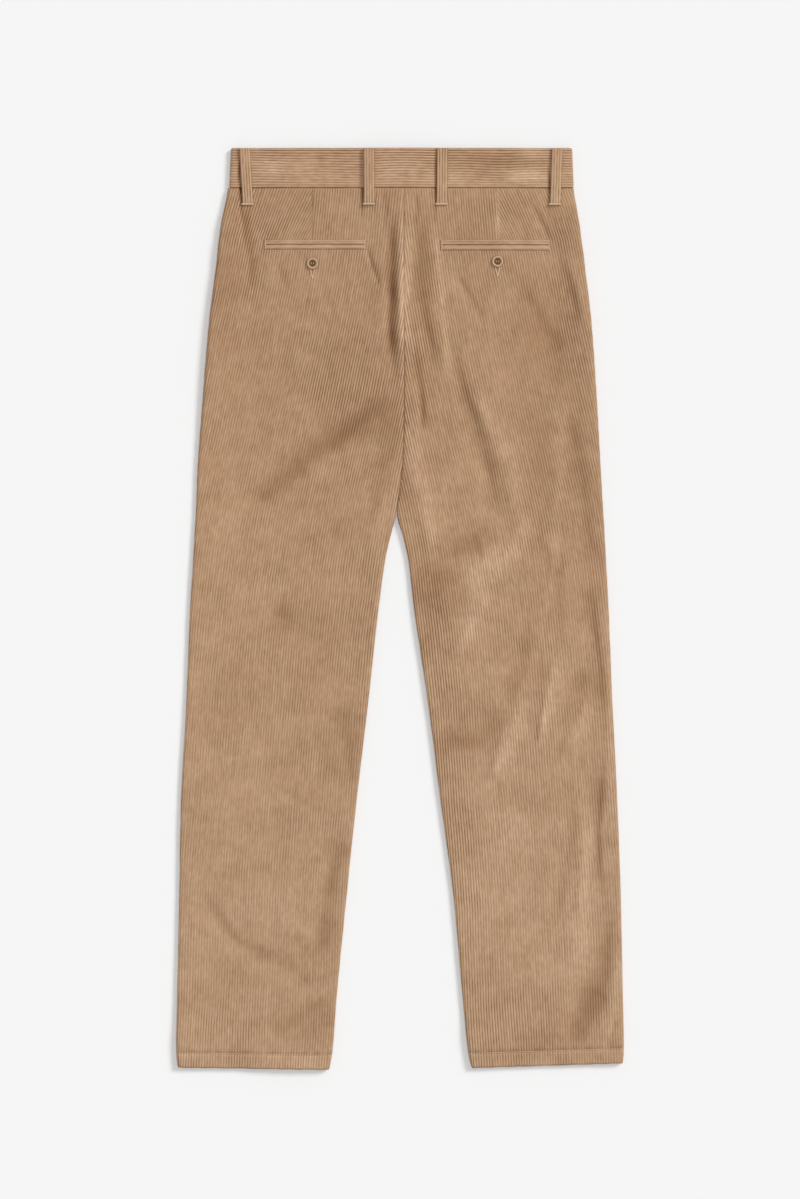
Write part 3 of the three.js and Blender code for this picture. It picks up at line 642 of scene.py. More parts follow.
@dataclass
class Lay:
    """How the garment lies: its outline and the heights of its layers, in millimetres.

    Its lift and calm spans run from where those start to where they are full.
    """

    ripple: float = 0.3
    seam_gap: float = 0.08
    edge_loft: float = 1.0
    band_loft: float = 0.4
    band_roll: float = 0.7
    dip_reach: float = 200.0
    lift_down: tuple[float, float] = (155.0, 78.0)
    lift_across: tuple[float, float] = (172.0, 128.0)
    calm_top: tuple[float, float] = (20.0, 90.0)
    calm_foot: float = 70.0
    # Painted shade and highlight that the creases put on the pile: shade in troughs and on flanks facing away
    # from the key light at the right and top, highlight on ridges and on flanks facing it.
    nap_reach: float = 1.5
    nap_limits: tuple[float, float] = (-0.42, 0.26)
    nap_across: float = 0.85
    nap_down: float = 0.5
    shaded_flank: float = 0.5
    lit_flank: float = 0.34
    trough_shade: float = 0.06
    ridge_highlight: float = 0.03
    seam_ditch: float = 1.0
    ditch_width: float = 1.7
    leg_fullness: float = 0.5
    hip_fullness: float = 2.2
    hip_top: float = 30.0
    hip_full: float = 110.0
    thigh_full: float = 230.0
    thigh_end: float = 420.0
    back: Relief = field(default_factory=lambda: Relief(SEAT_CREASES + THIGH_CREASES + SHIN_CREASES))
    front: Relief = field(default_factory=lambda: Relief(FRONT_CREASES))

    def outer(self, side: Side, drop: Array) -> Array:
        """The outer edge of a leg."""
        return read(OUTLINE, "outer_left" if side is Side.LEFT else "outer_right", drop)

    def from_side(self, x: Array, drop: Array) -> Array:
        """The distance in from the nearer side seam."""
        return np.minimum(x - self.outer(Side.LEFT, drop), self.outer(Side.RIGHT, drop) - x)

    def centre(self, drop: Array) -> Array:
        """The middle line of the garment."""
        return read(OUTLINE, "centre", drop)

    def half_gap(self, drop: Array) -> Array:
        """Half the width of the gap between the legs."""
        return np.maximum(0, read(OUTLINE, "gap", drop)) / 2

    def inner(self, side: Side, drop: Array) -> Array:
        """The inner edge of a back panel, with the seam between the two drawn tight."""
        return self.centre(drop) + side.value * (self.half_gap(drop) + self.seam_gap / 2)

    def rolled(self, drop: Array) -> Array:
        """How far the seat seam has turned into a rolled leg edge, from 0 to 1."""
        return ease(ROLL_START_DROP, ROLL_END_DROP, drop)

    def waist_lift(self, x: Array, drop: Array) -> Array:
        """How far the loops and button under the front hold the waist up."""
        return WAIST_LIFT * ease(*self.lift_down, drop) * ease(*self.lift_across, np.abs(x))

    def fly_rise(self, x: Array, drop: Array) -> Array:
        """How far the right front is raised over the left one at the fly."""
        lapped = self._lapped(x - self.centre(drop), FLY_LAP, FLY_UNDERLAP)
        return FLY_RISE * lapped * ease(FLY_END + 38, FLY_END + 6, drop)

    def band_rise(self, x: Array) -> Array:
        """How far the right end of the front waistband is raised over its left end."""
        return BAND_RISE * self._lapped(x - self.centre(0.0), BAND_LAP, BAND_UNDERLAP)

    @staticmethod
    def _lapped(off: Array, lap: float, underlap: float) -> Array:
        """How far a lap raises what lies over it, from 0 to 1, at distances from the middle line."""
        return ease(lap + 30, lap + 4, off) * ease(-underlap - 26, -underlap - 1, off)

    def front_stack(self, x: Array, drop: Array) -> Array:
        """How far the front stands up under the back at the fly and below the back waistband."""
        at_band = (self.band_rise(x) + BAND_WALL - CLOTH) * ease(92, 60, drop)
        return np.maximum(self.fly_rise(x, drop), at_band)

    def hem_room(self, drop: Array) -> Array:
        """The room that a layer leaves for the turned-up cloth of the hem."""
        return CLOTH * ease(SIDE_LENGTH - 75, SIDE_LENGTH - HEM_TURN_UP - 12, drop)

    def edge_roll(self, distance: Array) -> Array:
        """The swell of the back layer beside a rolled edge."""
        return ROLL_HEIGHT * hump(distance - EDGE_RADIUS, ROLL_WIDTH)

    def fullness(self, drop: Array) -> Array:
        """How full the side edges are: more at the hips than down the legs."""
        at_hips = ease(self.hip_top, self.hip_full, drop) * ease(self.thigh_end, self.thigh_full, drop)
        return mix(self.leg_fullness, self.hip_fullness, at_hips)

    def front_dip(self, x: Array) -> Array:
        """How far the front of the waist dips below the back."""
        return FRONT_DIP * np.clip(1 - (np.asarray(x, float) / self.dip_reach) ** 2, 0, 1)

    def ripples(self, x: Array, drop: Array) -> Array:
        """The slight unevenness of cloth that has been laid out by hand."""
        long_wave = np.sin(drop / 61 + x / 43) * np.sin(x / 27 - drop / 190 + 1.3)
        cross_wave = np.sin(drop / 23 + np.sin(x / 33) * 1.4) * np.sin(x / 51 + drop / 97)
        return self.ripple * (long_wave + 0.45 * cross_wave)

    def back_top(self, x: Array, drop: Array) -> Array:
        """Works out the height of the back layer's outer face.

        Args:
            x: each point's X.
            drop: each point's drop.

        Returns:
            The heights, with the front below, the creases and the swell of the rolled edges.
        """
        x, drop = np.broadcast_arrays(np.asarray(x, float), np.asarray(drop, float))
        rest = 2 * CLOTH + REST_GAP + self.waist_lift(x, drop) + self.front_stack(x, drop)
        rest = rest + 2 * self.hem_room(drop)
        inner = np.abs(x - self.centre(drop)) - self.half_gap(drop)
        calm = ease(SIDE_LENGTH, SIDE_LENGTH - self.calm_foot, drop) * ease(*self.calm_top, drop)
        loft = mix(self.edge_loft, BASE_LOFT, calm) + self.ripples(x, drop) * calm + self.back.read(x, drop)
        loft = loft + self.edge_roll(self.from_side(x, drop)) * self.fullness(drop)
        loft = loft + self.edge_roll(inner) * self.rolled(drop) * self.leg_fullness
        return rest + (loft + np.hypot(loft, LOFT_SOFTNESS)) / 2

    def front_hollow(self, x: Array, drop: Array) -> Array:
        """Works out how far creases lift the front off the floor.

        Args:
            x: each point's X.
            drop: each point's drop.

        Returns:
            The heights, where the back leaves room for them.
        """
        x, drop = np.broadcast_arrays(np.asarray(x, float), np.asarray(drop, float))
        below = 2 * CLOTH + 0.3 + self.waist_lift(x, drop) + self.front_stack(x, drop)
        room = np.maximum(self.back_top(x, drop) - below - 2 * self.hem_room(drop), 0)
        return np.clip(self.front.read(x, drop), 0, room) * (1 - self.hem_room(drop) / CLOTH)

    def painted_crease_shading(self, relief: Relief, x: Array, drop: Array) -> Array:
        """Works out the painted shade and highlight that the creases of a layer put on its pile.

        Args:
            relief: the layer's creases.
            x: each point's X.
            drop: each point's drop.

        Returns:
            The share: painted shade in a trough and on the flanks facing away from the key light, and painted
                highlight on a ridge and on the flanks facing it.
        """
        reach = self.nap_reach
        across = (relief.read(x + reach, drop) - relief.read(x - reach, drop)) / (2 * reach)
        down = (relief.read(x, drop + reach) - relief.read(x, drop - reach)) / (2 * reach)
        lean = down * self.nap_down - across * self.nap_across
        level = relief.read(x, drop)
        flank = np.where(lean < 0, self.shaded_flank, self.lit_flank) * lean
        crest = np.where(level < 0, self.trough_shade, self.ridge_highlight) * level
        return np.clip(flank + crest, *self.nap_limits)

    def band_top(self, x: Array) -> Array:
        """The height of the back waistband's outer face."""
        rest = 2 * BAND_WALL + REST_GAP + self.waist_lift(x, 0.0) + self.band_rise(x)
        return rest + self.band_loft + self.band_roll * self.edge_roll(self.from_side(x, 0.0))

    def ditch(self, distance: Array) -> Array:
        """How far cloth is drawn down beside a seam."""
        return self.seam_ditch * hump(distance, self.ditch_width)


@dataclass
class WaleField:
    """Where the wales of a leg panel run, in millimetres.

    A wale is named by the X at which it would cross the top of the waistband. It leans outwards below that.
    """

    side: Side
    layer: Layer
    dart_x: Optional[float] = None
    dart_tip: float = 106.0
    dart_outer: float = 24.0
    dart_inner: float = 4.6
    dart_reach: float = 65.0
    spread_end: float = 280.0
    spread_inner: float = 9.0
    spread_outer: float = -6.0
    wander: float = 0.8
    steps: Array = field(init=False)
    shifts: Array = field(init=False)

    def __post_init__(self) -> None:
        """Adds up the lean into how far a wale has moved at each drop."""
        self.steps = np.arange(0, SIDE_LENGTH + 12, 2.0)
        column = "back" if self.layer is Layer.BACK else "front"
        slope = np.tan(np.radians(read(LEANS, column, self.steps)))
        self.shifts = np.concatenate([[0], np.cumsum((slope[1:] + slope[:-1]) / 2 * np.diff(self.steps))])

    def shift(self, drop: Array) -> Array:
        """How far a wale has moved sideways at a drop."""
        return self.side.value * np.interp(drop, self.steps, self.shifts)

    def spread(self, wale_x: Array, drop: Array) -> Array:
        """How far the shaping of the seat moves the wales near the waist, outwards counted as positive."""
        if self.layer is Layer.FRONT:
            return np.zeros(np.broadcast(wale_x, drop).shape)
        share = np.clip(np.abs(wale_x) / 190, 0, 1)
        rise = np.clip((self.spread_end - drop) / self.spread_end, 0, 1) ** 2
        return mix(self.spread_inner, self.spread_outer, share) * rise

    def sway(self, wale_x: Array, drop: Array) -> Array:
        """How far a wale wanders off its course, as hand-laid cloth does."""
        slow = np.sin(drop / 52 + wale_x / 41) * np.sin(wale_x / 73 + drop / 131)
        quick = np.sin(drop / 19 + wale_x / 17) * np.sin(drop / 43 - wale_x / 29)
        return self.wander * (slow + 0.4 * quick)

    def place(self, wale_x: Array, drop: Array) -> tuple[Array, Array]:
        """Where each wale is at each drop.

        Args:
            wale_x: the names of the wales.
            drop: the drops.

        Returns:
            The X of each wale, and whether the dart has taken it in there.
        """
        x = wale_x + self.shift(drop) + self.side.value * self.spread(wale_x, drop) + self.sway(wale_x, drop)
        taken = np.zeros(x.shape, bool)
        if self.dart_x is None:
            return x, taken
        rise = np.clip((self.dart_tip - drop) / (self.dart_tip - BAND_HEIGHT), 0, 1)
        off = (x - self.dart_x) * self.side.value
        taken_in = np.exp(-np.abs(off) / self.dart_reach)
        reach = np.where(off > 0, -self.dart_outer, self.dart_inner) * taken_in
        moved = off + reach * rise
        taken = (rise > 0) & (moved * off <= 0)
        moved = np.where(taken, 0, moved)
        return self.dart_x + self.side.value * moved, taken

    def dart_depth(self, x: Array, drop: Array) -> Array:
        """How deep the dart's seam line lies below the cloth."""
        if self.dart_x is None:
            return np.zeros(np.broadcast(x, drop).shape)
        along = ease(self.dart_tip, self.dart_tip - 22, drop)
        return 0.15 * along * hump(x - self.dart_x, 1.3)


@dataclass
class ClothGrid:
    """The points of a closed piece of cloth, in rows down it and columns across it, in millimetres."""

    outer: Array
    inner: Array
    wale: Array
    along: Array
    rise: Array
    held: Array
    nap: Optional[Array] = None
    clear: Optional[Array] = None
    inner_step: int = 1
    looks_down: bool = False

    def write(self, name: str) -> Piece:
        """Makes the closed mesh.

        Args:
            name: the piece's name.

        Returns:
            The object, with its wale, along and rise attributes and its cloth UV map.
        """
        rows, columns = self.held.shape
        count = rows * columns
        outer_ids = np.arange(rows)[:, None] * columns + self.held
        kept = np.arange(0, columns, self.inner_step)
        inner_held = self._held_on(kept)
        inner_ids = count + np.arange(rows)[:, None] * columns + inner_held
        faces = [*self._quads(outer_ids, False), *self._quads(inner_ids, True)]
        for r in range(rows - 1):
            faces.append([outer_ids[r, 0], inner_ids[r, 0], inner_ids[r + 1, 0], outer_ids[r + 1, 0]])
            faces.append([outer_ids[r + 1, -1], inner_ids[r + 1, -1], inner_ids[r, -1], outer_ids[r, -1]])
        for k in range(len(kept) - 1):
            for row, turned in ((0, False), (rows - 1, True)):
                rim = list(outer_ids[row, kept[k] : kept[k + 1] + 1])
                rim += [inner_ids[row, k + 1], inner_ids[row, k]]
                faces.append(rim[::-1] if turned else rim)
        faces = [self._cleaned(face) for face in faces]
        faces = [face for face in faces if len(face) > 2]
        if self.looks_down:
            faces = [face[::-1] for face in faces]
        points = np.concatenate([self.outer.reshape(-1, 3), self.inner.reshape(-1, 3)])
        values = {
            "wale": np.tile(self.wale.ravel(), 2),
            "along": np.tile(self.along.ravel(), 2),
            "rise": np.concatenate([self.rise.ravel(), np.zeros(count)]),
            "nap": np.zeros(2 * count) if self.nap is None else np.tile(self.nap.ravel(), 2),
            "clear": np.full(2 * count, BAND_CLEAR) if self.clear is None else np.tile(self.clear.ravel(), 2),
        }
        return write_mesh(name, points, faces, values)

    def _held_on(self, kept: Array) -> Array:
        """Works out where the columns of the inner face run together.

        Args:
            kept: the columns that the inner face has.

        Returns:
            The column that each has run into, row by row.
        """
        held = self.held[:, kept]
        own = held == kept[None, :]
        first = np.zeros_like(held)
        for k in range(len(kept)):
            same = held == held[:, k : k + 1]
            first[:, k] = kept[same.argmax(axis=1)]
        return np.where(own, kept[None, :], first)

    @staticmethod
    def _quads(ids: Array, turned: bool) -> list[list[int]]:
        """Works out the faces between neighbouring rows and columns.

        Args:
            ids: the number of each point.
            turned: whether the faces look the other way.

        Returns:
            The corners of each face that isn't flat.
        """
        corners = [ids[:-1, :-1], ids[1:, :-1], ids[1:, 1:], ids[:-1, 1:]]
        quads = np.stack([c.ravel() for c in (corners[::-1] if turned else corners)], axis=1)
        flat = (quads[:, 0] == quads[:, 3]) & (quads[:, 1] == quads[:, 2])
        other = (quads[:, 0] == quads[:, 1]) & (quads[:, 2] == quads[:, 3])
        return quads[~(flat | other)].tolist()

    @staticmethod
    def _cleaned(face: Sequence[int]) -> list[int]:
        """The face without the corners that have run together."""
        return [int(v) for i, v in enumerate(face) if v != face[i - 1]]


def write_mesh(
    name: str, points: Array, faces: list[list[int]], values: Optional[dict[str, Array]] = None
) -> Piece:
    """Makes a mesh object from points in millimetres.

    Args:
        name: the object's name.
        points: the points.
        faces: the corners of each face.
        values: numbers to keep at each point, by name. "wale" and "along" also make the cloth's UV map.

    Returns:
        The object.
    """
    used = np.unique(np.concatenate([np.asarray(face) for face in faces]))
    renumbered = np.full(len(points), -1)
    renumbered[used] = np.arange(len(used))
    mesh = bpy.data.meshes.new(name)
    mesh.from_pydata((points[used] * MM).tolist(), [], [renumbered[face].tolist() for face in faces])
    for key, numbers in (values or {}).items():
        mesh.attributes.new(key, "FLOAT", "POINT").data.foreach_set("value", numbers[used].astype(np.float32))
    if values and "wale" in values:
        corners = np.empty(len(mesh.loops), np.int32)
        mesh.loops.foreach_get("vertex_index", corners)
        across = values["wale"][used][corners] * WALE_PITCH * MM
        down = values["along"][used][corners] * MM
        mesh.uv_layers.new(name="cloth").data.foreach_set("uv", np.stack([across, down], axis=1).ravel())
    mesh.polygons.foreach_set("use_smooth", np.ones(len(mesh.polygons), bool))
    mesh.update()
    return put_in_scene(name, mesh)


class TreeBuilder:
    """Adds nodes to a node tree and joins them."""

    def __init__(self, tree: bpy.types.NodeTree) -> None:
        """Keeps the tree."""
        self.tree = tree

    def node(self, kind: str, inputs: Optional[dict] = None, **settings: object) -> bpy.types.Node:
        """Adds a node.

        Args:
            kind: the node's type.
            inputs: a value or another node's output for each of its inputs, by name or number.
            settings: its properties.

        Returns:
            The node.
        """
        node = self.tree.nodes.new(kind)
        for key, value in settings.items():
            setattr(node, key, value)
        for key, value in (inputs or {}).items():
            if isinstance(value, Socket):
                self.tree.links.new(value, node.inputs[key])
            else:
                node.inputs[key].default_value = value
        return node

    def add(self, kind: str, inputs: Optional[dict] = None, **settings: object) -> Socket:
        """Adds a node and gives its first output."""
        return self.node(kind, inputs, **settings).outputs[0]

    def maths(self, operation: str, first: object, second: object = 0.0) -> Socket:
        """Adds a Math node."""
        return self.add("ShaderNodeMath", {0: first, 1: second}, operation=operation)

    def plus(self, first: object, second: object) -> Socket:
        """Adds the sum of two numbers."""
        return self.maths("ADD", first, second)

    def minus(self, first: object, second: object) -> Socket:
        """Adds the difference of two numbers."""
        return self.maths("SUBTRACT", first, second)

    def times(self, first: object, second: object) -> Socket:
        """Adds the product of two numbers."""
        return self.maths("MULTIPLY", first, second)

    def vector_maths(self, operation: str, first: object, second: object) -> Socket:
        """Adds a Vector Math node."""
        return self.add("ShaderNodeVectorMath", {0: first, 1: second}, operation=operation)

    def vector(self, x: object = 0.0, y: object = 0.0, z: object = 0.0) -> Socket:
        """Adds a vector of three numbers."""
        return self.add("ShaderNodeCombineXYZ", {0: x, 1: y, 2: z})

    def noise(self, place: Socket, scale: float, detail: float) -> Socket:
        """Adds a noise texture's value."""
        return self.add("ShaderNodeTexNoise", {"Vector": place, "Scale": scale, "Detail": detail})

    def attribute(self, name: str) -> Socket:
        """Adds the number that the mesh keeps under a name, in a material."""
        return self.node("ShaderNodeAttribute", attribute_name=name).outputs["Fac"]

    def blend(self, share: Socket, first: object, second: object) -> Socket:
        """Adds a mix of two colours, from the first to the second."""
        ends = [colour if isinstance(colour, Socket) else (*colour, 1.0) for colour in (first, second)]
        return self.node("ShaderNodeMix", {0: share, 6: ends[0], 7: ends[1]}, data_type="RGBA").outputs[2]

    def surface(self, inputs: dict) -> None:
        """Adds the shader with its inputs, and the material's output."""
        shader = self.add("ShaderNodeBsdfPrincipled", inputs)
        self.node("ShaderNodeOutputMaterial", {"Surface": shader})


def new_material(name: str) -> tuple[Material, TreeBuilder]:
    """Makes a material and the builder of its node tree, which starts empty."""
    material = bpy.data.materials.new(name)
    material.use_nodes = True
    material.node_tree.nodes.clear()
    return material, TreeBuilder(material.node_tree)


@dataclass
class GeometryTree:
    """A Geometry Nodes tree with named inputs, put on a piece and turned into its plain mesh."""

    name: str
    sizes: dict[str, float]
    make: Callable[[TreeBuilder, dict[str, Socket], Socket], Socket]
    tree: bpy.types.NodeTree = field(init=False)

    def __post_init__(self) -> None:
        """Builds the tree."""
        self.tree = bpy.data.node_groups.new(self.name, "GeometryNodeTree")
        face = self.tree.interface
        face.new_socket("Geometry", in_out="INPUT", socket_type="NodeSocketGeometry")
        for label in self.sizes:
            face.new_socket(label, in_out="INPUT", socket_type="NodeSocketFloat")
        face.new_socket("Material", in_out="INPUT", socket_type="NodeSocketMaterial")
        face.new_socket("Geometry", in_out="OUTPUT", socket_type="NodeSocketGeometry")
        build = TreeBuilder(self.tree)
        source = build.node("NodeGroupInput").outputs
        shape = self.make(build, {label: source[label] for label in self.sizes}, source["Geometry"])
        real = build.add("GeometryNodeRealizeInstances", {"Geometry": shape})
        dressed = build.add("GeometryNodeSetMaterial", {"Geometry": real, "Material": source["Material"]})
        build.node("NodeGroupOutput", {0: dressed})

    def apply(self, piece: Piece, material: Material, sizes: Optional[dict[str, float]] = None) -> Piece:
        """Runs the tree on a piece and keeps the result as its mesh.

        Args:
            piece: the piece.
            material: what the result is made of.
            sizes: the tree's sizes, by name, where they aren't its own.

        Returns:
            The piece.
        """
        modifier = piece.modifiers.new(self.name, "NODES")
        modifier.node_group = self.tree
        values = {**self.sizes, **(sizes or {}), "Material": material}
        for item in self.tree.interface.items_tree:
            if item.in_out == "INPUT" and item.name in values:
                modifier[item.identifier] = values[item.name]
        graph = bpy.context.evaluated_depsgraph_get()
        result = bpy.data.meshes.new_from_object(piece.evaluated_get(graph), depsgraph=graph)
        piece.modifiers.remove(modifier)
        old = piece.data
        piece.data = result
        bpy.data.meshes.remove(old)
        result.name = piece.name
        return piece


def raise_wales(build: TreeBuilder, sizes: dict[str, Socket], cloth: Socket) -> Socket:
    """Nodes that raise the wales of corduroy on a smooth cloth by its wale attribute.

    Args:
        build: the tree's builder.
        sizes: the tree's inputs.
        cloth: the smooth cloth.

    Returns:
        The ribbed cloth, with a pile attribute that is 0 between the wales and 1 on their crests, the mask of
        the painted shade between the wales.
    """
    kept = {
        name: build.add("GeometryNodeInputNamedAttribute", {"Name": name}, data_type="FLOAT")
        for name in ("wale", "rise", "along")
    }
    off = build.maths("ABSOLUTE", build.minus(build.maths("FRACT", kept["wale"]), 0.5))
    profile = build.minus(1.0, build.maths("POWER", build.times(off, 2.0), sizes["Roundness"]))
    number = build.times(build.maths("FLOOR", kept["wale"]), 7.31)
    spot = build.vector(number, build.times(kept["along"], sizes["Unevenness Scale"]), sizes["Seed"])
    sway = build.times(build.minus(build.noise(spot, 1.0, 2.0), 0.5), sizes["Unevenness"])
    patches = build.noise(build.add("GeometryNodeInputPosition"), 24.0, 2.0)
    sway = build.plus(sway, build.times(build.minus(patches, 0.5), sizes["Patchiness"]))
    height = build.times(sizes["Height"], build.plus(1.0, sway))
    lifted = build.times(build.times(profile, kept["rise"]), height)
    normal = build.add("GeometryNodeInputNormal")
    offset = build.add("ShaderNodeVectorMath", {0: normal, "Scale": lifted}, operation="SCALE")
    moved = build.add("GeometryNodeSetPosition", {"Geometry": cloth, "Offset": offset})
    # The mask of the painted shade between the wales.
    pile = build.times(profile, build.maths("MINIMUM", kept["rise"], 1.0))
    stored = {"Geometry": moved, "Name": "pile", "Value": pile}
    return build.add("GeometryNodeStoreNamedAttribute", stored, data_type="FLOAT", domain="POINT")


def lay_stitches(build: TreeBuilder, sizes: dict[str, Socket], path: Socket) -> Socket:
    """Nodes that set a small rounded stitch at even steps along a path.

    Args:
        build: the tree's builder.
        sizes: the tree's inputs.
        path: the path, as loose edges.

    Returns:
        The stitches.
    """
    curve = build.add("GeometryNodeMeshToCurve", {"Mesh": path})
    points = build.add("GeometryNodeResampleCurve", {"Curve": curve, "Length": sizes["Step"]}, mode="LENGTH")
    bead = build.add("GeometryNodeMeshUVSphere", {"Segments": 6, "Rings": 4, "Radius": 0.5})
    smooth = build.add("GeometryNodeSetShadeSmooth", {"Geometry": bead})
    tangent = build.add("GeometryNodeInputTangent")
    aligned = build.add("FunctionNodeAlignRotationToVector", {"Vector": tangent}, axis="X")
    turn = build.vector(z=sizes["Turn"])
    turned = build.add("FunctionNodeRotateRotation", {0: aligned, 1: turn}, rotation_space="LOCAL")
    scale = build.vector(sizes["Length"], sizes["Width"], sizes["Thickness"])
    placed = {"Points": points, "Instance": smooth, "Rotation": turned, "Scale": scale}
    return build.add("GeometryNodeInstanceOnPoints", placed)


@dataclass(frozen=True)
class CorduroyFinish:
    """The tan corduroy: a napped pile that is lighter on the crests of its wales, with painted shade in the
    valleys between them.

    The scales of its streaks, beads and fibres are across the wales and along them, per metre.
    """

    crest: Colour = (0.432, 0.268, 0.158)
    # Painted shade between the wales.
    valley_shade: Colour = (0.105, 0.038, 0.011)
    worn: Colour = (0.42, 0.248, 0.15)
    dusty: Colour = (0.41, 0.265, 0.152)
    faded: Colour = (0.462, 0.306, 0.194)
    fade_top: float = 0.08
    fade_foot: float = -0.3
    fade_share: float = 0.55
    faint: float = 0.56
    warmth: tuple[float, float, float] = (1.0, 1.28, 1.62)
    streak_scale: tuple[float, float, float] = (325.0, 26.0, 0.0)
    bead_scale: tuple[float, float, float] = (330.0, 105.0, 0.0)
    fibre_scale: tuple[float, float, float] = (2600.0, 900.0, 0.0)
    roughness: float = 0.92
    sheen: float = 0.12
    name: str = "corduroy"

    def make(self) -> Material:
        """Builds the material.

        Returns:
            The material, which reads the cloth's UV map, its pile attribute for the painted shade between the
            wales, its attribute of painted shade, highlight and tone, and its clear attribute.
        """
        material, build = new_material(self.name)
        cloth = build.add("ShaderNodeUVMap", uv_map="cloth")
        place = build.node("ShaderNodeTexCoord").outputs["Object"]
        streaks = build.noise(build.vector_maths("MULTIPLY", cloth, self.streak_scale), 1.0, 3.0)
        beads = build.noise(build.vector_maths("MULTIPLY", cloth, self.bead_scale), 1.0, 1.0)
        fibres = build.noise(build.vector_maths("MULTIPLY", cloth, self.fibre_scale), 1.0, 2.0)
        broad = build.noise(place, 15.0, 3.0)
        mottle = build.noise(build.vector_maths("ADD", place, (5.3, 0.7, 0.0)), 62.0, 4.0)
        depth = self._depth(build, build.noise(build.vector_maths("ADD", place, (1.9, 4.2, 0.0)), 34.0, 3.0))
        # Painted shade between the wales: the valley colour where the pile is low, the crest colour on the
        # wales.
        colour = build.blend(depth, self.valley_shade, self.crest)
        rubbed = build.noise(build.vector_maths("ADD", place, (3.1, 1.7, 0.4)), 26.0, 3.0)
        height = build.node("ShaderNodeSeparateXYZ", {0: place}).outputs["Y"]
        for value, low, high, share, tint in (
            (rubbed, 0.46, 0.7, 0.5, self.worn),
            (rubbed, 0.5, 0.28, 0.5, self.dusty),
            (height, self.fade_top, self.fade_foot, self.fade_share, self.faded),
        ):
            limits = {"Value": value, "From Min": low, "From Max": high, "To Max": share}
            colour = build.blend(build.times(build.add("ShaderNodeMapRange", limits), depth), colour, tint)
        broken = build.plus(build.times(streaks, 0.9), build.times(beads, 0.8))
        # The painted shade and highlight of the creases, patches, loops and hem, with the pile's tone, broken
        # up by the streaks and beads.
        level = build.plus(1.0, build.times(build.attribute("nap"), build.plus(0.15, broken)))
        for noise, amount in ((streaks, 0.32), (beads, 0.36), (fibres, 0.13), (broad, 0.2), (mottle, 0.22)):
            level = build.plus(level, build.times(build.minus(noise, 0.5), amount))
        level = build.maths("MAXIMUM", level, 0.15)
        # Lower levels, the painted shade among them, turn warmer as well as darker.
        shade = build.vector(*(build.maths("POWER", level, power) for power in self.warmth))
        bump = {"Strength": 0.35, "Distance": 0.25 * MM, "Height": fibres}
        build.surface(
            {
                "Base Color": build.vector_maths("MULTIPLY", colour, shade),
                "Roughness": self.roughness,
                "Specular IOR Level": 0.15,
                "Sheen Weight": self.sheen,
                "Sheen Roughness": 0.45,
                "Sheen Tint": (0.95, 0.82, 0.68, 1.0),
                "Normal": build.add("ShaderNodeBump", bump),
            }
        )
        return material

    def _depth(self, build: TreeBuilder, unevenness: Socket) -> Socket:
        """Adds the share of crest colour: 1 on the wales, and less between them where they show clearly,
        which paints shade in the valleys.

        Args:
            build: the material's builder.
            unevenness: a noise that makes the wales clearer in some places.

        Returns:
            The share.
        """
        limits = {"Value": build.attribute("pile"), "From Min": 0.0, "From Max": 0.9}
        low = build.minus(1.0, build.maths("POWER", build.add("ShaderNodeMapRange", limits), 0.9))
        patchy = build.times(build.minus(unevenness, 0.5), 1.3)
        shown = build.plus(build.plus(self.faint, build.attribute("clear")), patchy)
        shown = build.maths("MINIMUM", build.maths("MAXIMUM", shown, 0.12), 1.0)
        return build.minus(1.0, build.times(low, shown))


@dataclass(frozen=True)
class PlainFinish:
    """A finish of one colour with a fine mottle, and a painted shade colour where one is given: thread, tape,
    horn or metal.
    """

    name: str
    colour: Colour
    mottle: Colour
    mottle_scale: float
    roughness: float
    metallic: float = 0.0
    specular: float = 0.5
    bump: float = 0.0
    painted_shade: Optional[Colour] = None

    def make(self) -> Material:
        """Builds the material.

        Returns:
            The material, which reads object coordinates, and the painted shade attribute where it has a
            colour for that.
        """
        material, build = new_material(self.name)
        noise = build.noise(build.node("ShaderNodeTexCoord").outputs["Object"], self.mottle_scale, 4.0)
        colour = build.blend(noise, self.colour, self.mottle)
        if self.painted_shade:
            colour = build.blend(build.attribute("painted_shade"), colour, self.painted_shade)
        bump = {"Strength": self.bump, "Distance": 0.1 * MM, "Height": noise}
        build.surface(
            {
                "Base Color": colour,
                "Roughness": self.roughness,
                "Metallic": self.metallic,
                "Specular IOR Level": self.specular,
                "Normal": build.add("ShaderNodeBump", bump),
            }
        )
        return material


THREAD = PlainFinish("thread", (0.7, 0.5, 0.35), (0.56, 0.385, 0.255), 900, 0.7, specular=0.3)
# The horn's painted shade colour, for its dish, edge, sides and holes.
HORN_PAINTED_SHADE = (0.09, 0.042, 0.014)
HORN = PlainFinish("horn", (0.59, 0.39, 0.25), (0.45, 0.285, 0.165), 420, 0.5, 0.0, 0.06, 0.1, HORN_PAINTED_SHADE)
ZIP_TAPE = PlainFinish("tape", (0.26, 0.16, 0.095), (0.2, 0.12, 0.07), 1600, 0.85, bump=0.4)
BRASS = PlainFinish("brass", (0.55, 0.38, 0.16), (0.48, 0.32, 0.13), 600, 0.35, metallic=1.0)


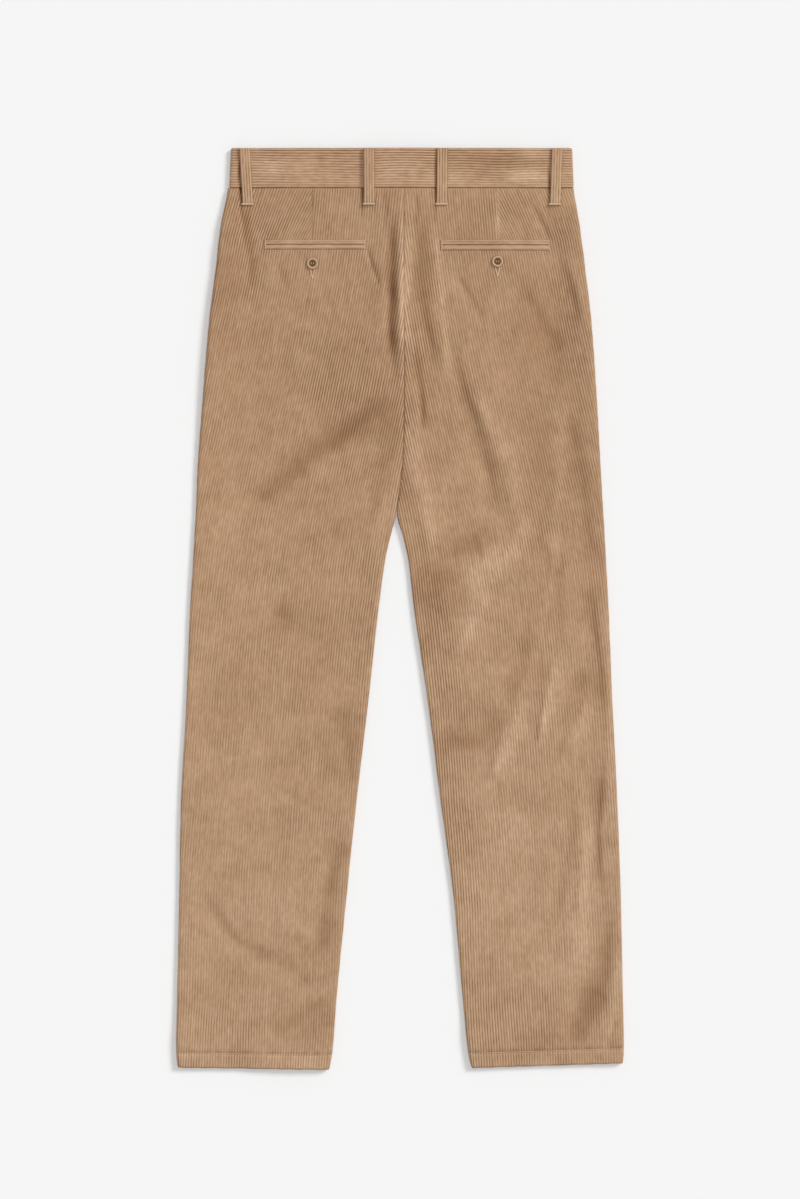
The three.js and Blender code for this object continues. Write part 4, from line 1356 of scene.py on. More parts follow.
@dataclass
class Wardrobe:
    """The finishes of the garment and the trees that raise its wales and lay its stitches.

    Corners of the cloth that turn more than the rim angle, in degrees, stay crisp.
    """

    rim_angle: float = 78.0
    corduroy: Material = field(default_factory=CorduroyFinish().make)
    thread: Material = field(default_factory=THREAD.make)
    horn: Material = field(default_factory=HORN.make)
    tape: Material = field(default_factory=ZIP_TAPE.make)
    brass: Material = field(default_factory=BRASS.make)
    wales: GeometryTree = field(default_factory=lambda: GeometryTree("wales", WALE_SIZES, raise_wales))
    stitches: GeometryTree = field(
        default_factory=lambda: GeometryTree("stitches", HEM_STITCH.sizes(), lay_stitches)
    )

    def cloth(self, grid: ClothGrid, node: str) -> Piece:
        """Makes a piece of corduroy.

        Args:
            grid: the points of its smooth faces.
            node: the solid that it stands for.

        Returns:
            The piece, with its wales raised and its rims kept crisp.
        """
        piece = grid.write(f"cloth_{node}")
        self.wales.apply(piece, self.corduroy)
        piece.data.set_sharp_from_angle(angle=math.radians(self.rim_angle))
        return finish_piece(piece, [node])

    def sewn(
        self,
        name: str,
        paths: Sequence[Array],
        stitch: Stitch,
        slot: str = "corduroy",
        material: Optional[Material] = None,
    ) -> Piece:
        """Lays stitches along paths.

        Args:
            name: the piece's name.
            paths: the points of each path, in millimetres.
            stitch: the kind of stitch.
            slot: not used.
            material: what the stitches are made of, where that isn't the thread.

        Returns:
            The stitches as one piece.
        """
        points, edges = [], []
        for path in paths:
            start = len(points)
            points += (np.asarray(path) * MM).tolist()
            edges += [(start + i, start + i + 1) for i in range(len(path) - 1)]
        mesh = bpy.data.meshes.new(name)
        mesh.from_pydata(points, edges, [])
        piece = self.stitches.apply(put_in_scene(name, mesh), material or self.thread, stitch.sizes())
        return finish_piece(piece)


def finish_piece(piece: Piece, nodes: Sequence[str] = ()) -> Piece:
    """Ties a piece to the garment.

    Args:
        piece: the piece.
        nodes: the solids that it stands for.

    Returns:
        The piece.
    """
    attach(piece, BODY)
    if nodes:
        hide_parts(*nodes)
    LOG.info("%s: %d faces", piece.name, len(piece.data.polygons))
    return piece


@dataclass
class PanelEdge:
    """A side edge of a piece, row by row: its X and drop, how far it is rolled, and the way in along X."""

    x: Array
    drop: Array
    rolled: Array
    inward: int

    @property
    def length(self) -> Array:
        """The length of cloth in the edge's roll."""
        return EDGE_RADIUS * (1 + self.rolled * (math.pi / 2 - 1))

    @property
    def start(self) -> Array:
        """The place of the edge if its roll lay flat."""
        return self.x + self.inward * (EDGE_RADIUS - self.length)


def roll_edges(
    x: Array,
    drop: Array,
    edges: Sequence[PanelEdge],
    depth: Array,
    dent: Array,
    layer: Layer,
    height: Callable[[Array, Array], Array],
) -> tuple[Array, Array]:
    """Lays a face of a piece down, with its side edges rolled round to their seams.

    Args:
        x: each point's place across the cloth, which passes an edge's flat place where that is rolled.
        drop: each point's drop.
        edges: the piece's two side edges.
        depth: how deep the face lies inside the piece's outer face.
        dent: how far seams draw the face in.
        layer: the piece's layer.
        height: gives the height of the outer face at an X and a drop.

    Returns:
        The X and the height of each point.
    """
    inset = layer.value * (depth + dent)
    seam_z = SEAM_HEIGHT + (SEAM if layer is Layer.BACK else 0)
    plan_x, z = x, height(x, drop) - inset
    for edge in edges:
        edge_x, length, rolled = edge.x[:, None], edge.length[:, None], edge.rolled[:, None]
        inward = (x - edge.start[:, None]) * edge.inward
        share = np.clip(inward / length, 0, 1)
        turn = math.pi / 2 * share
        flat_x = edge_x + edge.inward * EDGE_RADIUS * share
        arc_x = edge_x + edge.inward * (EDGE_RADIUS - (EDGE_RADIUS - depth) * np.cos(turn))
        crest = height(edge_x + edge.inward * EDGE_RADIUS, edge.drop[:, None])
        arc_z = seam_z + (crest - seam_z - inset) * np.sin(turn)
        plan_x = np.where(inward < length, mix(flat_x, arc_x, rolled), plan_x)
        z = np.where(inward < length, mix(height(flat_x, drop) - inset, arc_z, rolled), z)
    return plan_x, z


@dataclass
class LegPanel:
    """One leg panel, a wall of corduroy whose long edges roll round to the side seam and the inseam.

    Its cut's width and length are in metres.
    """

    side: Side
    layer: Layer
    lay: Lay
    wardrobe: Wardrobe
    row_step: float = 6.0
    dart_x: Optional[float] = None
    cut_width: float = 0.29
    cut_length: float = 1.05
    seam_take: float = 20.0
    wale_reach: float = 16.0
    wales: WaleField = field(init=False)

    def __post_init__(self) -> None:
        """Works out where the panel's wales run."""
        self.wales = WaleField(self.side, self.layer, self.dart_x)

    @property
    def node(self) -> str:
        """The name of the panel's solid."""
        return f"{self.layer.name.lower()}_{self.side.name.lower()}"

    def height(self, x: Array, drop: Array) -> Array:
        """The height of the panel's outer face."""
        if self.layer is Layer.BACK:
            return self.lay.back_top(x, drop)
        lifted = self.lay.waist_lift(x, drop) + self.lay.front_hollow(x, drop)
        return lifted + (self.lay.fly_rise(x, drop) if self.side is Side.RIGHT else 0)

    def inner_edge(self, drop: Array) -> Array:
        """The panel's inner edge, which laps at the fly on the front."""
        edge = self.lay.inner(self.side, drop)
        if self.layer is Layer.BACK:
            return edge
        lap = FLY_LAP if self.side is Side.LEFT else -FLY_UNDERLAP
        return edge + lap * ease(FLY_END + 2, FLY_END - 24, drop)

    def top(self, x: Array) -> Array:
        """The drop of the panel's upper edge."""
        dip = self.lay.front_dip(x) if self.layer is Layer.FRONT else 0 * np.asarray(x)
        return BAND_HEIGHT + SEAM + dip

    def from_hem(self, x: Array, drop: Array) -> Array:
        """The distance up from the hem's edge."""
        hem = HEMS[self.side]
        outer, inner = self.lay.outer(self.side, drop), self.inner_edge(drop)
        return mix(hem.outer, hem.inner, np.clip((x - outer) / (inner - outer), 0, 1)) - drop

    def build(self) -> Piece:
        """Makes the panel.

        Returns:
            The finished panel, which stands for its solid.
        """
        edges, drop_at = self._edges()
        low, high = (edge.start[:, None] for edge in edges)
        names = self._wale_names(edges)
        last = len(names) - 1
        wale_x = np.broadcast_to(names, (len(low), last + 1))
        drop = drop_at(wale_x + self.wales.shift(drop_at(0 * low)))
        placed, taken = self.wales.place(wale_x, drop)
        drop = drop_at(placed)
        x = np.clip(placed, low, high)
        held = np.where(placed <= low, 0, np.where(placed >= high, last, np.arange(last + 1)))
        inside = taken & (held != 0) & (held != last)
        held = np.where(inside, inside.argmax(axis=1)[:, None], held)
        depth = np.where(self.from_hem(x, drop) < HEM_TURN_UP + 0.5, 2 * CLOTH - 0.2, CLOTH)
        grid = ClothGrid(
            outer=self._points(x, drop, edges, RIB),
            inner=self._points(x, drop, edges, depth),
            wale=(wale_x + x - placed) / WALE_PITCH,
            along=drop,
            rise=self._rise(x, drop, edges),
            held=held,
            nap=self._nap(x, drop),
            clear=patch_sum(CLEAR_PATCHES if self.layer is Layer.BACK else (), x, drop),
            inner_step=RIB_SAMPLES,
            looks_down=self.layer is Layer.FRONT,
        )
        piece = self.wardrobe.cloth(grid, self.node)
        self.cut_area()
        return piece

    def cut_area(self) -> float:
        """The flat area of the panel's cut in square metres, with what its rolled edges and its side seams
        take.

        Returns:
            The area.
        """
        drops = np.linspace(BAND_HEIGHT, SIDE_LENGTH, 60)
        widths = np.abs(self.lay.outer(self.side, drops) - self.inner_edge(drops))
        rolled = EDGE_RADIUS * (math.pi / 2 - 1) * 2
        return (float(np.mean(widths + rolled)) + self.seam_take) * (SIDE_LENGTH - BAND_HEIGHT) * MM * MM

    def _row_shares(self) -> Array:
        """Works out the rows.

        Returns:
            Shares of the way from the top edge to the hem, crowded at both ends and at the hem's seam.
        """
        length = SIDE_LENGTH - BAND_HEIGHT
        near_hem = [24, 21, *(HEM_TURN_UP + np.arange(2, -3, -1)), 13, 9, 5.5, 3, 1.8, 1, 0.4, 0]
        body = np.arange(5, length - 28, self.row_step)
        return np.concatenate([[0, 0.7, 1.5, 2.6], body, length - np.array(near_hem)]) / length

    def _edges(self) -> tuple[list[PanelEdge], Callable[[Array], Array]]:
        """Works out the panel's side edges.

        Returns:
            The edge at lower X and the edge at higher X, and a function that gives each row's drop at an X.
        """
        shares = self._row_shares()
        hem = HEMS[self.side]
        outer_drop = mix(self.top(self.lay.outer(self.side, 0.0)), hem.outer, shares)
        inner_drop = mix(self.top(self.inner_edge(0.0)), hem.inner, shares)
        outer_x = self.lay.outer(self.side, outer_drop)
        inner_x = self.inner_edge(inner_drop)
        outer = PanelEdge(outer_x, outer_drop, np.ones(len(shares)), -self.side.value)
        inner = PanelEdge(inner_x, inner_drop, self.lay.rolled(inner_drop), self.side.value)

        def drop_at(x: Array) -> Array:
            """The drop of each row at an X."""
            across = np.clip((x - outer_x[:, None]) / (inner_x - outer_x)[:, None], 0, 1)
            return mix(self.top(x), mix(hem.outer, hem.inner, across), shares[:, None])

        return [outer, inner][:: -self.side.value], drop_at

    def _wale_names(self, edges: Sequence[PanelEdge]) -> Array:
        """Works out the mesh's columns.

        Args:
            edges: the panel's side edges.

        Returns:
            The X names of the columns, several to a wale, enough to reach past both edges at every row.
        """
        shift = self.wales.shift(edges[0].drop)
        first = math.floor(((edges[0].start - shift).min() - self.wale_reach) / WALE_PITCH)
        last = math.ceil(((edges[1].start - shift).max() + self.wale_reach) / WALE_PITCH)
        return np.arange(first * RIB_SAMPLES, last * RIB_SAMPLES + 1) * WALE_PITCH / RIB_SAMPLES

    def _nap(self, x: Array, drop: Array) -> Array:
        """Works out the painted shade and highlight on the pile, with its uneven tone.

        Args:
            x: each point's X.
            drop: each point's drop.

        Returns:
            What the creases' painted shading, the patches and the painted highlight and shade at the hem's
            puckers add up to, as a share.
        """
        hem_line = self.from_hem(x, drop) - HEM_TURN_UP
        uneven = 0.55 + 0.45 * np.sin(x / 3.1 + 2.4 * np.sin(x / 17))
        # A painted highlight just below the hem's stitching, and painted shade in the puckers just above it.
        pucker = 0.1 * hump(hem_line + 1.6, 1.2) - 0.2 * uneven * hump(hem_line - 2.4, 1.7)
        on_back = self.layer is Layer.BACK
        crease_shade = self.lay.painted_crease_shading(self.lay.back if on_back else self.lay.front, x, drop)
        return patch_sum(SHADE_AND_TONE_PATCHES if on_back else FRONT_PATCHES, x, drop) + crease_shade + pucker

    def _rise(self, x: Array, drop: Array, edges: Sequence[PanelEdge]) -> Array:
        """Works out how much of a wale's height stands, as the cloth is pressed at seams and hem.

        Args:
            x: each point's X.
            drop: each point's drop.
            edges: the panel's side edges.

        Returns:
            The share of the height.
        """
        low, high = (edge.start[:, None] for edge in edges)
        from_hem = self.from_hem(x, drop)
        rise = ease(-0.5, 1.3, x - low) * ease(-0.5, 1.3, high - x) * ease(-0.8, 1.8, drop - self.top(x))
        rise = rise * ease(-1.0, 2.5, from_hem) * (1 - 0.45 * hump(from_hem - HEM_TURN_UP, 1.6))
        if self.dart_x is not None:
            rise = rise * (1 - 0.4 * hump(x - self.dart_x, 1.3) * ease(112, 96, drop))
        return rise

    def _points(self, x: Array, drop: Array, edges: Sequence[PanelEdge], depth: Array) -> Array:
        """Works out a face of the panel.

        Args:
            x: each point's place across the cloth.
            drop: each point's drop.
            edges: the panel's side edges.
            depth: how deep the face lies inside the panel's outer face.

        Returns:
            The points, in millimetres.
        """
        dent = self._dents(x, drop, edges)
        plan_x, z = roll_edges(x, drop, edges, depth, dent, self.layer, self.height)
        pucker = 0.1575 * np.sin(x / 4.3 + 1.7 * np.sin(x / 19)) * hump(self.from_hem(x, drop), 9)
        return points_at(plan_x, drop - pucker, z)

    def _dents(self, x: Array, drop: Array, edges: Sequence[PanelEdge]) -> Array:
        """Works out how far the seams, the dart and the hem draw the cloth in.

        Args:
            x: each point's X.
            drop: each point's drop.
            edges: the panel's side edges.

        Returns:
            The depths, in millimetres.
        """
        inner = edges[0] if self.side is Side.RIGHT else edges[1]
        from_inner = (x - inner.start[:, None]) * inner.inward
        from_hem = self.from_hem(x, drop)
        pull = 1 + 0.5 * np.sin(x / 3.1 + 2.2 * np.sin(x / 23))
        dent = 0.35 * self.lay.ditch(from_inner) * (1 - inner.rolled[:, None])
        dent = dent + (0.45 + 0.35 * ease(-60, 60, x)) * self.lay.ditch(drop - self.top(x))
        dent = dent + 0.45 * pull * hump(from_hem - HEM_TURN_UP, 1.7) + 1.2 * turned_down(from_hem, 2.0)
        return dent + self.wales.dart_depth(x, drop)




@dataclass
class Waistband:
    """A stretch of waistband with its wales running round the waist.

    It has the X places of its start and end, and says which of the two roll round to a side seam. The front's
    right end is raised over its left one.
    """

    node: str
    layer: Layer
    ends: tuple[float, float]
    rolls: tuple[bool, bool]
    lay: Lay
    wardrobe: Wardrobe
    raised: bool = False
    column_step: float = 3.0
    flare: float = 2.0
    fold_radius: float = 1.3
    rib_share: float = 1.6
    waviness: float = 0.75

    def height(self, x: Array, drop: Array) -> Array:
        """The height of the band's outer face, which is the same at every drop."""
        if self.layer is Layer.BACK:
            return self.lay.band_top(x)
        return self.lay.waist_lift(x, 0.0) + (self.lay.band_rise(x) if self.raised else 0)

    def build(self) -> Piece:
        """Makes the waistband piece.

        Returns:
            The finished piece, which stands for its solid.
        """
        v = self._rows()
        drops = v[:, None] * BAND_HEIGHT
        edges = []
        for place, rolls, inward in zip(self.ends, self.rolls, (1, -1)):
            flared = place + np.sign(place) * self.flare * v * rolls
            edges.append(PanelEdge(flared, drops[:, 0], np.full(len(v), float(rolls)), inward))
        low, high = (edge.start[:, None] for edge in edges)
        width = self.ends[1] - self.ends[0]
        share = np.linspace(0, 1, int(width / self.column_step) + 1)
        share = share - 0.016 * np.sin(share * 2 * math.pi)
        near_end = np.array([0, 0.003, 0.007, 0.012])
        share = np.concatenate([near_end, share[(share > 0.015) & (share < 0.985)], 1 - near_end[::-1]])
        x = mix(low, high, share)
        from_fold = np.minimum(drops, BAND_HEIGHT - drops)
        fold = 0.8 * self.fold_radius * turned_down(from_fold, self.fold_radius)
        shown = ease(-0.4, 2.2, from_fold) * ease(-0.6, 2.2, x - low) * ease(-0.6, 2.2, high - x)
        grid = ClothGrid(
            outer=self._points(x, drops, edges, self.rib_share * RIB + fold),
            inner=self._points(x, drops, edges, BAND_WALL - 0.5 * fold),
            wale=np.broadcast_to(drops / WALE_PITCH, x.shape),
            along=x,
            rise=self.rib_share * shown,
            held=np.broadcast_to(np.arange(x.shape[1]), x.shape),
            # The patches' painted shade and highlight, weaker on the front, and the band's lighter tone.
            nap=patch_sum(SHADE_AND_TONE_PATCHES, x, drops) * (1 if self.layer is Layer.BACK else 0.3) + BAND_TONE,
            looks_down=self.layer is Layer.FRONT,
        )
        piece = self.wardrobe.cloth(grid, self.node)
        return piece

    def _rows(self) -> Array:
        """The rows as shares of the band's height, several to a wale."""
        count = round(BAND_HEIGHT / WALE_PITCH) * RIB_SAMPLES
        return np.concatenate([[0, 0.006], np.arange(1, count) / count, [0.994, 1.0]])

    def _points(self, x: Array, drops: Array, edges: Sequence[PanelEdge], depth: Array) -> Array:
        """Works out a face of the band.

        Args:
            x: each point's place across the cloth.
            drops: the drop of each row.
            edges: the band's side edges.
            depth: how deep the face lies inside the band's outer face.

        Returns:
            The points, in millimetres.
        """
        plan_x, z = roll_edges(x, drops, edges, depth, 0.0, self.layer, self.height)
        inside = np.sin(math.pi * drops / BAND_HEIGHT)
        wave = self.waviness * inside * (np.sin(x / 31 + 0.8) + 0.6 * np.sin(x / 13 + 2))
        dip = self.lay.front_dip(x) if self.layer is Layer.FRONT else 0
        return points_at(plan_x, drops + dip - wave, z)


@dataclass
class Strip:
    """A narrow strip of corduroy with rounded edges that lies on the cloth: a belt loop or a pocket welt.

    Its place gives the X and drop at shares across and along it, from the middle of its width and from its
    start. Its under gives the height of the face that lies on the cloth, at an X, a drop and a share along.
    """

    node: str
    width: float
    length: float
    thickness: float
    grain: Grain
    place: Callable[[Array, Array], tuple[Array, Array]]
    under: Callable[[Array, Array, Array], Array]
    wardrobe: Wardrobe
    layer: Layer = Layer.BACK
    wale_count: int = 4
    long_step: float = 2.5
    rounding: float = 1.0
    thinnest: float = 0.25
    rib_share: float = 1.1
    tone: float = 0.12
    clear: float = 0.12
    laid: bool = False

    def build(self) -> Piece:
        """Makes the strip.

        Returns:
            The finished strip, which stands for its solid.
        """
        across = self._across()
        near_end = np.array([0, 0.3, 0.8, 1.5])
        body = np.arange(2.5, self.length - 2.4, self.long_step)
        along = np.concatenate([near_end, body, self.length - near_end[::-1]])
        u, v = np.meshgrid(across / self.width - 0.5, along / self.length)
        x, drop = self.place(u, v)
        from_side = self.width * (0.5 - np.abs(u))
        from_end = self.length * np.minimum(v, 1 - v)
        curve = turned_down(from_side, self.rounding) + turned_down(from_end, self.rounding)
        base = self.under(x, drop, v)
        wall = self.thickness - self.rib_share * RIB
        top = base + self.layer.value * np.maximum(wall - curve * wall, self.thinnest)
        grid = ClothGrid(
            outer=points_at(x, drop, top),
            inner=points_at(x, drop, base),
            wale=np.broadcast_to(across / (self.width / self.wale_count), u.shape),
            along=v * self.length,
            rise=self.rib_share * ease(-0.2, 1.3, from_side) * ease(-0.2, 1.6, from_end),
            held=np.broadcast_to(np.arange(u.shape[1]), u.shape),
            nap=np.full(u.shape, self.tone),
            clear=np.full(u.shape, self.clear),
            looks_down=self.layer is Layer.FRONT,
        )
        if self.grain is Grain.ACROSS:
            self._turn(grid)
        piece = self.wardrobe.cloth(grid, self.node)
        return piece

    def _across(self) -> Array:
        """The columns' distances from one side, several to a wale, with more at both sides."""
        count = self.wale_count * RIB_SAMPLES
        body = np.arange(1, count) * self.width / count
        return np.concatenate([[0, 0.25], body, [self.width - 0.25, self.width]])

    @staticmethod
    def _turn(grid: ClothGrid) -> None:
        """Turns a strip's grid so that its rows go down the garment."""
        for key in ("outer", "inner", "wale", "along", "rise", "nap", "clear"):
            setattr(grid, key, np.swapaxes(getattr(grid, key), 0, 1))
        grid.held = np.broadcast_to(np.arange(grid.wale.shape[1]), grid.wale.shape)


@dataclass(frozen=True)
class LoopSpot:
    """Where a belt loop lies: its node, and the X of its middle at its top and its foot."""

    node: str
    top_x: float
    foot_x: float


BACK_LOOPS = (
    LoopSpot("belt_loop_side_left", -180, -176),
    LoopSpot("belt_loop_back_left", -36, -35.5),
    LoopSpot("belt_loop_back_right", 49, 48.5),
    LoopSpot("belt_loop_side_right", 182, 180),
)
FRONT_LOOPS = (
    LoopSpot("belt_loop_front_left", -96, -96),
    LoopSpot("belt_loop_front_right", 104, 104),
)


@dataclass
class BeltLoops:
    """The belt loops: four arched over the back waistband, two pressed flat under the front one."""

    lay: Lay
    wardrobe: Wardrobe
    width: float = 12.5
    thickness: float = 2.0
    foot: float = BAND_HEIGHT + 20.0
    bulge: float = 0.6
    top_drop: float = 0.3

    def build(self) -> None:
        """Makes every loop, and the bar tacks at the feet of those on the back."""
        tacks = []
        for spot in BACK_LOOPS:
            self._loop(spot, Layer.BACK)
            tacks.append(self._tack_path(spot))
        for spot in FRONT_LOOPS:
            self._loop(spot, Layer.FRONT)
        self.wardrobe.sewn("loop_bar_tacks", tacks, BAR_TACK)

    def _seat(self, x: Array, drop: Array) -> Array:
        """The height of what a back loop lies over."""
        over_seat = self.lay.back_top(x, np.maximum(drop, BAND_HEIGHT))
        return mix(self.lay.band_top(x), over_seat, ease(BAND_HEIGHT - 6, self.foot - 8, drop))

    def _arch(self, middle: Array, drop: Array, v: Array) -> Array:
        """Works out the height of a back loop's underside.

        Args:
            middle: the X of its middle.
            drop: how far down the garment.
            v: the share along the loop.

        Returns:
            The height, which clears what is highest across the loop's width.
        """
        across = (middle + side * self.width / 2 for side in (-1, 0, 1))
        highest = np.max([self._seat(x, drop) for x in across], axis=0)
        return highest + SEAM + 0.1 + self.bulge * ease(0, 0.35, v) * ease(0.9, 0.6, v)

    def _loop(self, spot: LoopSpot, layer: Layer) -> None:
        """Makes one loop.

        Args:
            spot: where it lies.
            layer: the layer that it is sewn to.
        """
        on_back = layer is Layer.BACK
        top = self.top_drop if on_back else -LOOP_RISE
        dip = 0.0 if on_back else float(self.lay.front_dip(spot.top_x))

        def place(u: Array, v: Array) -> tuple[Array, Array]:
            """The X and drop at a share across and down the loop."""
            return mix(spot.top_x, spot.foot_x, v) + u * self.width, mix(top, self.foot, v) + dip

        def under(x: Array, drop: Array, v: Array) -> Array:
            """The height of the face that lies on the cloth."""
            if on_back:
                return self._arch(mix(spot.top_x, spot.foot_x, v), drop, v)
            return np.full(x.shape, self.thickness)

        Strip(
            node=spot.node,
            width=self.width,
            length=self.foot - top,
            thickness=self.thickness,
            grain=Grain.ALONG,
            place=place,
            under=under,
            wardrobe=self.wardrobe,
            layer=layer,
            laid=True,
        ).build()

    def _tack_path(self, spot: LoopSpot) -> Array:
        """Works out the line of the bar tack across a loop's foot.

        Args:
            spot: where the loop lies.

        Returns:
            The points of the line.
        """
        drop = self.foot - BAR_TACK.length / 2 + 0.4
        v = (drop - self.top_drop) / (self.foot - self.top_drop)
        middle = mix(spot.top_x, spot.foot_x, v)
        x = np.linspace(-0.57, 0.5, 22) * self.width + middle
        drop = np.full(x.shape, drop)
        return points_at(x, drop, self._arch(middle, drop, v) + self.thickness - 0.35)


@dataclass(frozen=True)
class PocketSpot:
    """Where a back pocket lies: its slit from one X to another, its drop and height, and its button."""

    side: Side
    from_x: float
    to_x: float
    drop: float
    height: float
    button_x: float
    button_drop: float


POCKETS = (
    PocketSpot(Side.LEFT, -157, -40, 106.3, 11, -101.5, 133.7),
    PocketSpot(Side.RIGHT, 47.5, 173.5, 106, 12.5, 113, 131.5),
)


@dataclass
class WeltPocket:
    """A double-welt back pocket: two lips, end tacks, topstitching, and a buttonhole with its button."""

    spot: PocketSpot
    lay: Lay
    wardrobe: Wardrobe
    lip_thickness: float = 1.3
    slit: float = 0.4
    button_radius: float = 7.0
    hole_start: float = -5.5
    hole_end: float = 17.0

    @property
    def name(self) -> str:
        """The start of the names of the pocket's pieces."""
        return f"pocket_{self.spot.side.name.lower()}"

    def build(self) -> None:
        """Makes the pocket."""
        lip = (self.spot.height - self.slit) / 2
        self._lip("upper", self.spot.drop, lip, 2)
        self._lip("lower", self.spot.drop + lip + self.slit, lip, 1)
        self._sewing()
        self._button()

    def _lip(self, which: str, drop: float, height: float, wales: int) -> None:
        """Makes one lip.

        Args:
            which: upper or lower.
            drop: where it starts.
            height: how high it is.
            wales: how many wales it shows.
        """
        spot = self.spot

        def place(u: Array, v: Array) -> tuple[Array, Array]:
            """The X and drop at a share down and along the lip."""
            return mix(spot.from_x, spot.to_x, v), drop + (u + 0.5) * height

        def under(x: Array, at: Array, v: Array) -> Array:
            """The height of the lip's underside."""
            return self.lay.back_top(x, at) + SEAM * 0.5

        Strip(
            node=f"{self.name}_{which}_welt",
            width=height,
            length=spot.to_x - spot.from_x,
            thickness=self.lip_thickness,
            grain=Grain.ACROSS,
            place=place,
            under=under,
            wardrobe=self.wardrobe,
            wale_count=wales,
            rounding=0.9,
            rib_share=0.7,
            tone=0.14,
            clear=-0.1,
        ).build()

    def _on_cloth(self, x: Array, drop: Array, over: float) -> Array:
        """Points that lie a little over the cloth."""
        x, drop = np.broadcast_arrays(x, drop)
        return points_at(x, drop, self.lay.back_top(x, drop) + over)

    def _sewing(self) -> None:
        """Makes the topstitching below the lips, the end tacks and the buttonhole."""
        spot = self.spot
        foot = spot.drop + spot.height
        below = self._on_cloth(np.linspace(spot.from_x - 1, spot.to_x + 1, 80), foot + 1.5, 0.02)
        self.wardrobe.sewn(f"{self.name}_topstitching", [below], TOPSTITCH)
        drops = np.linspace(spot.drop + 0.3, foot - 0.3, 14)
        ends = (spot.from_x + 0.9, spot.to_x - 0.9)
        tacks = [self._on_cloth(end, drops, self.lip_thickness + 0.1) for end in ends]
        self.wardrobe.sewn(f"{self.name}_end_tacks", tacks, END_TACK)
        share = np.linspace(0, 1, 16)
        drops = spot.button_drop + mix(self.hole_start, self.hole_end, share)
        spread = 2.1 * (1 - ease(0.55, 1.0, share)) + 0.25
        sides = [self._on_cloth(spot.button_x + side * spread, drops, 0.4) for side in (-1, 1)]
        self.wardrobe.sewn(f"{self.name}_buttonhole", sides, BUTTONHOLE)

    def _button(self) -> None:
        """Makes the button that closes the pocket, which rests on the highest cloth below it."""
        spot = self.spot
        offsets = np.array([-1.0, 0.0, 1.0]) * self.button_radius
        x, drop = np.meshgrid(spot.button_x + offsets, spot.button_drop + offsets)
        seat = float(self.lay.back_top(x, drop).max()) + 0.15
        centre = (spot.button_x, TOP_Y - spot.button_drop, seat)
        Button(f"pocket_button_{spot.side.name.lower()}", centre, self.button_radius, self.wardrobe).build()


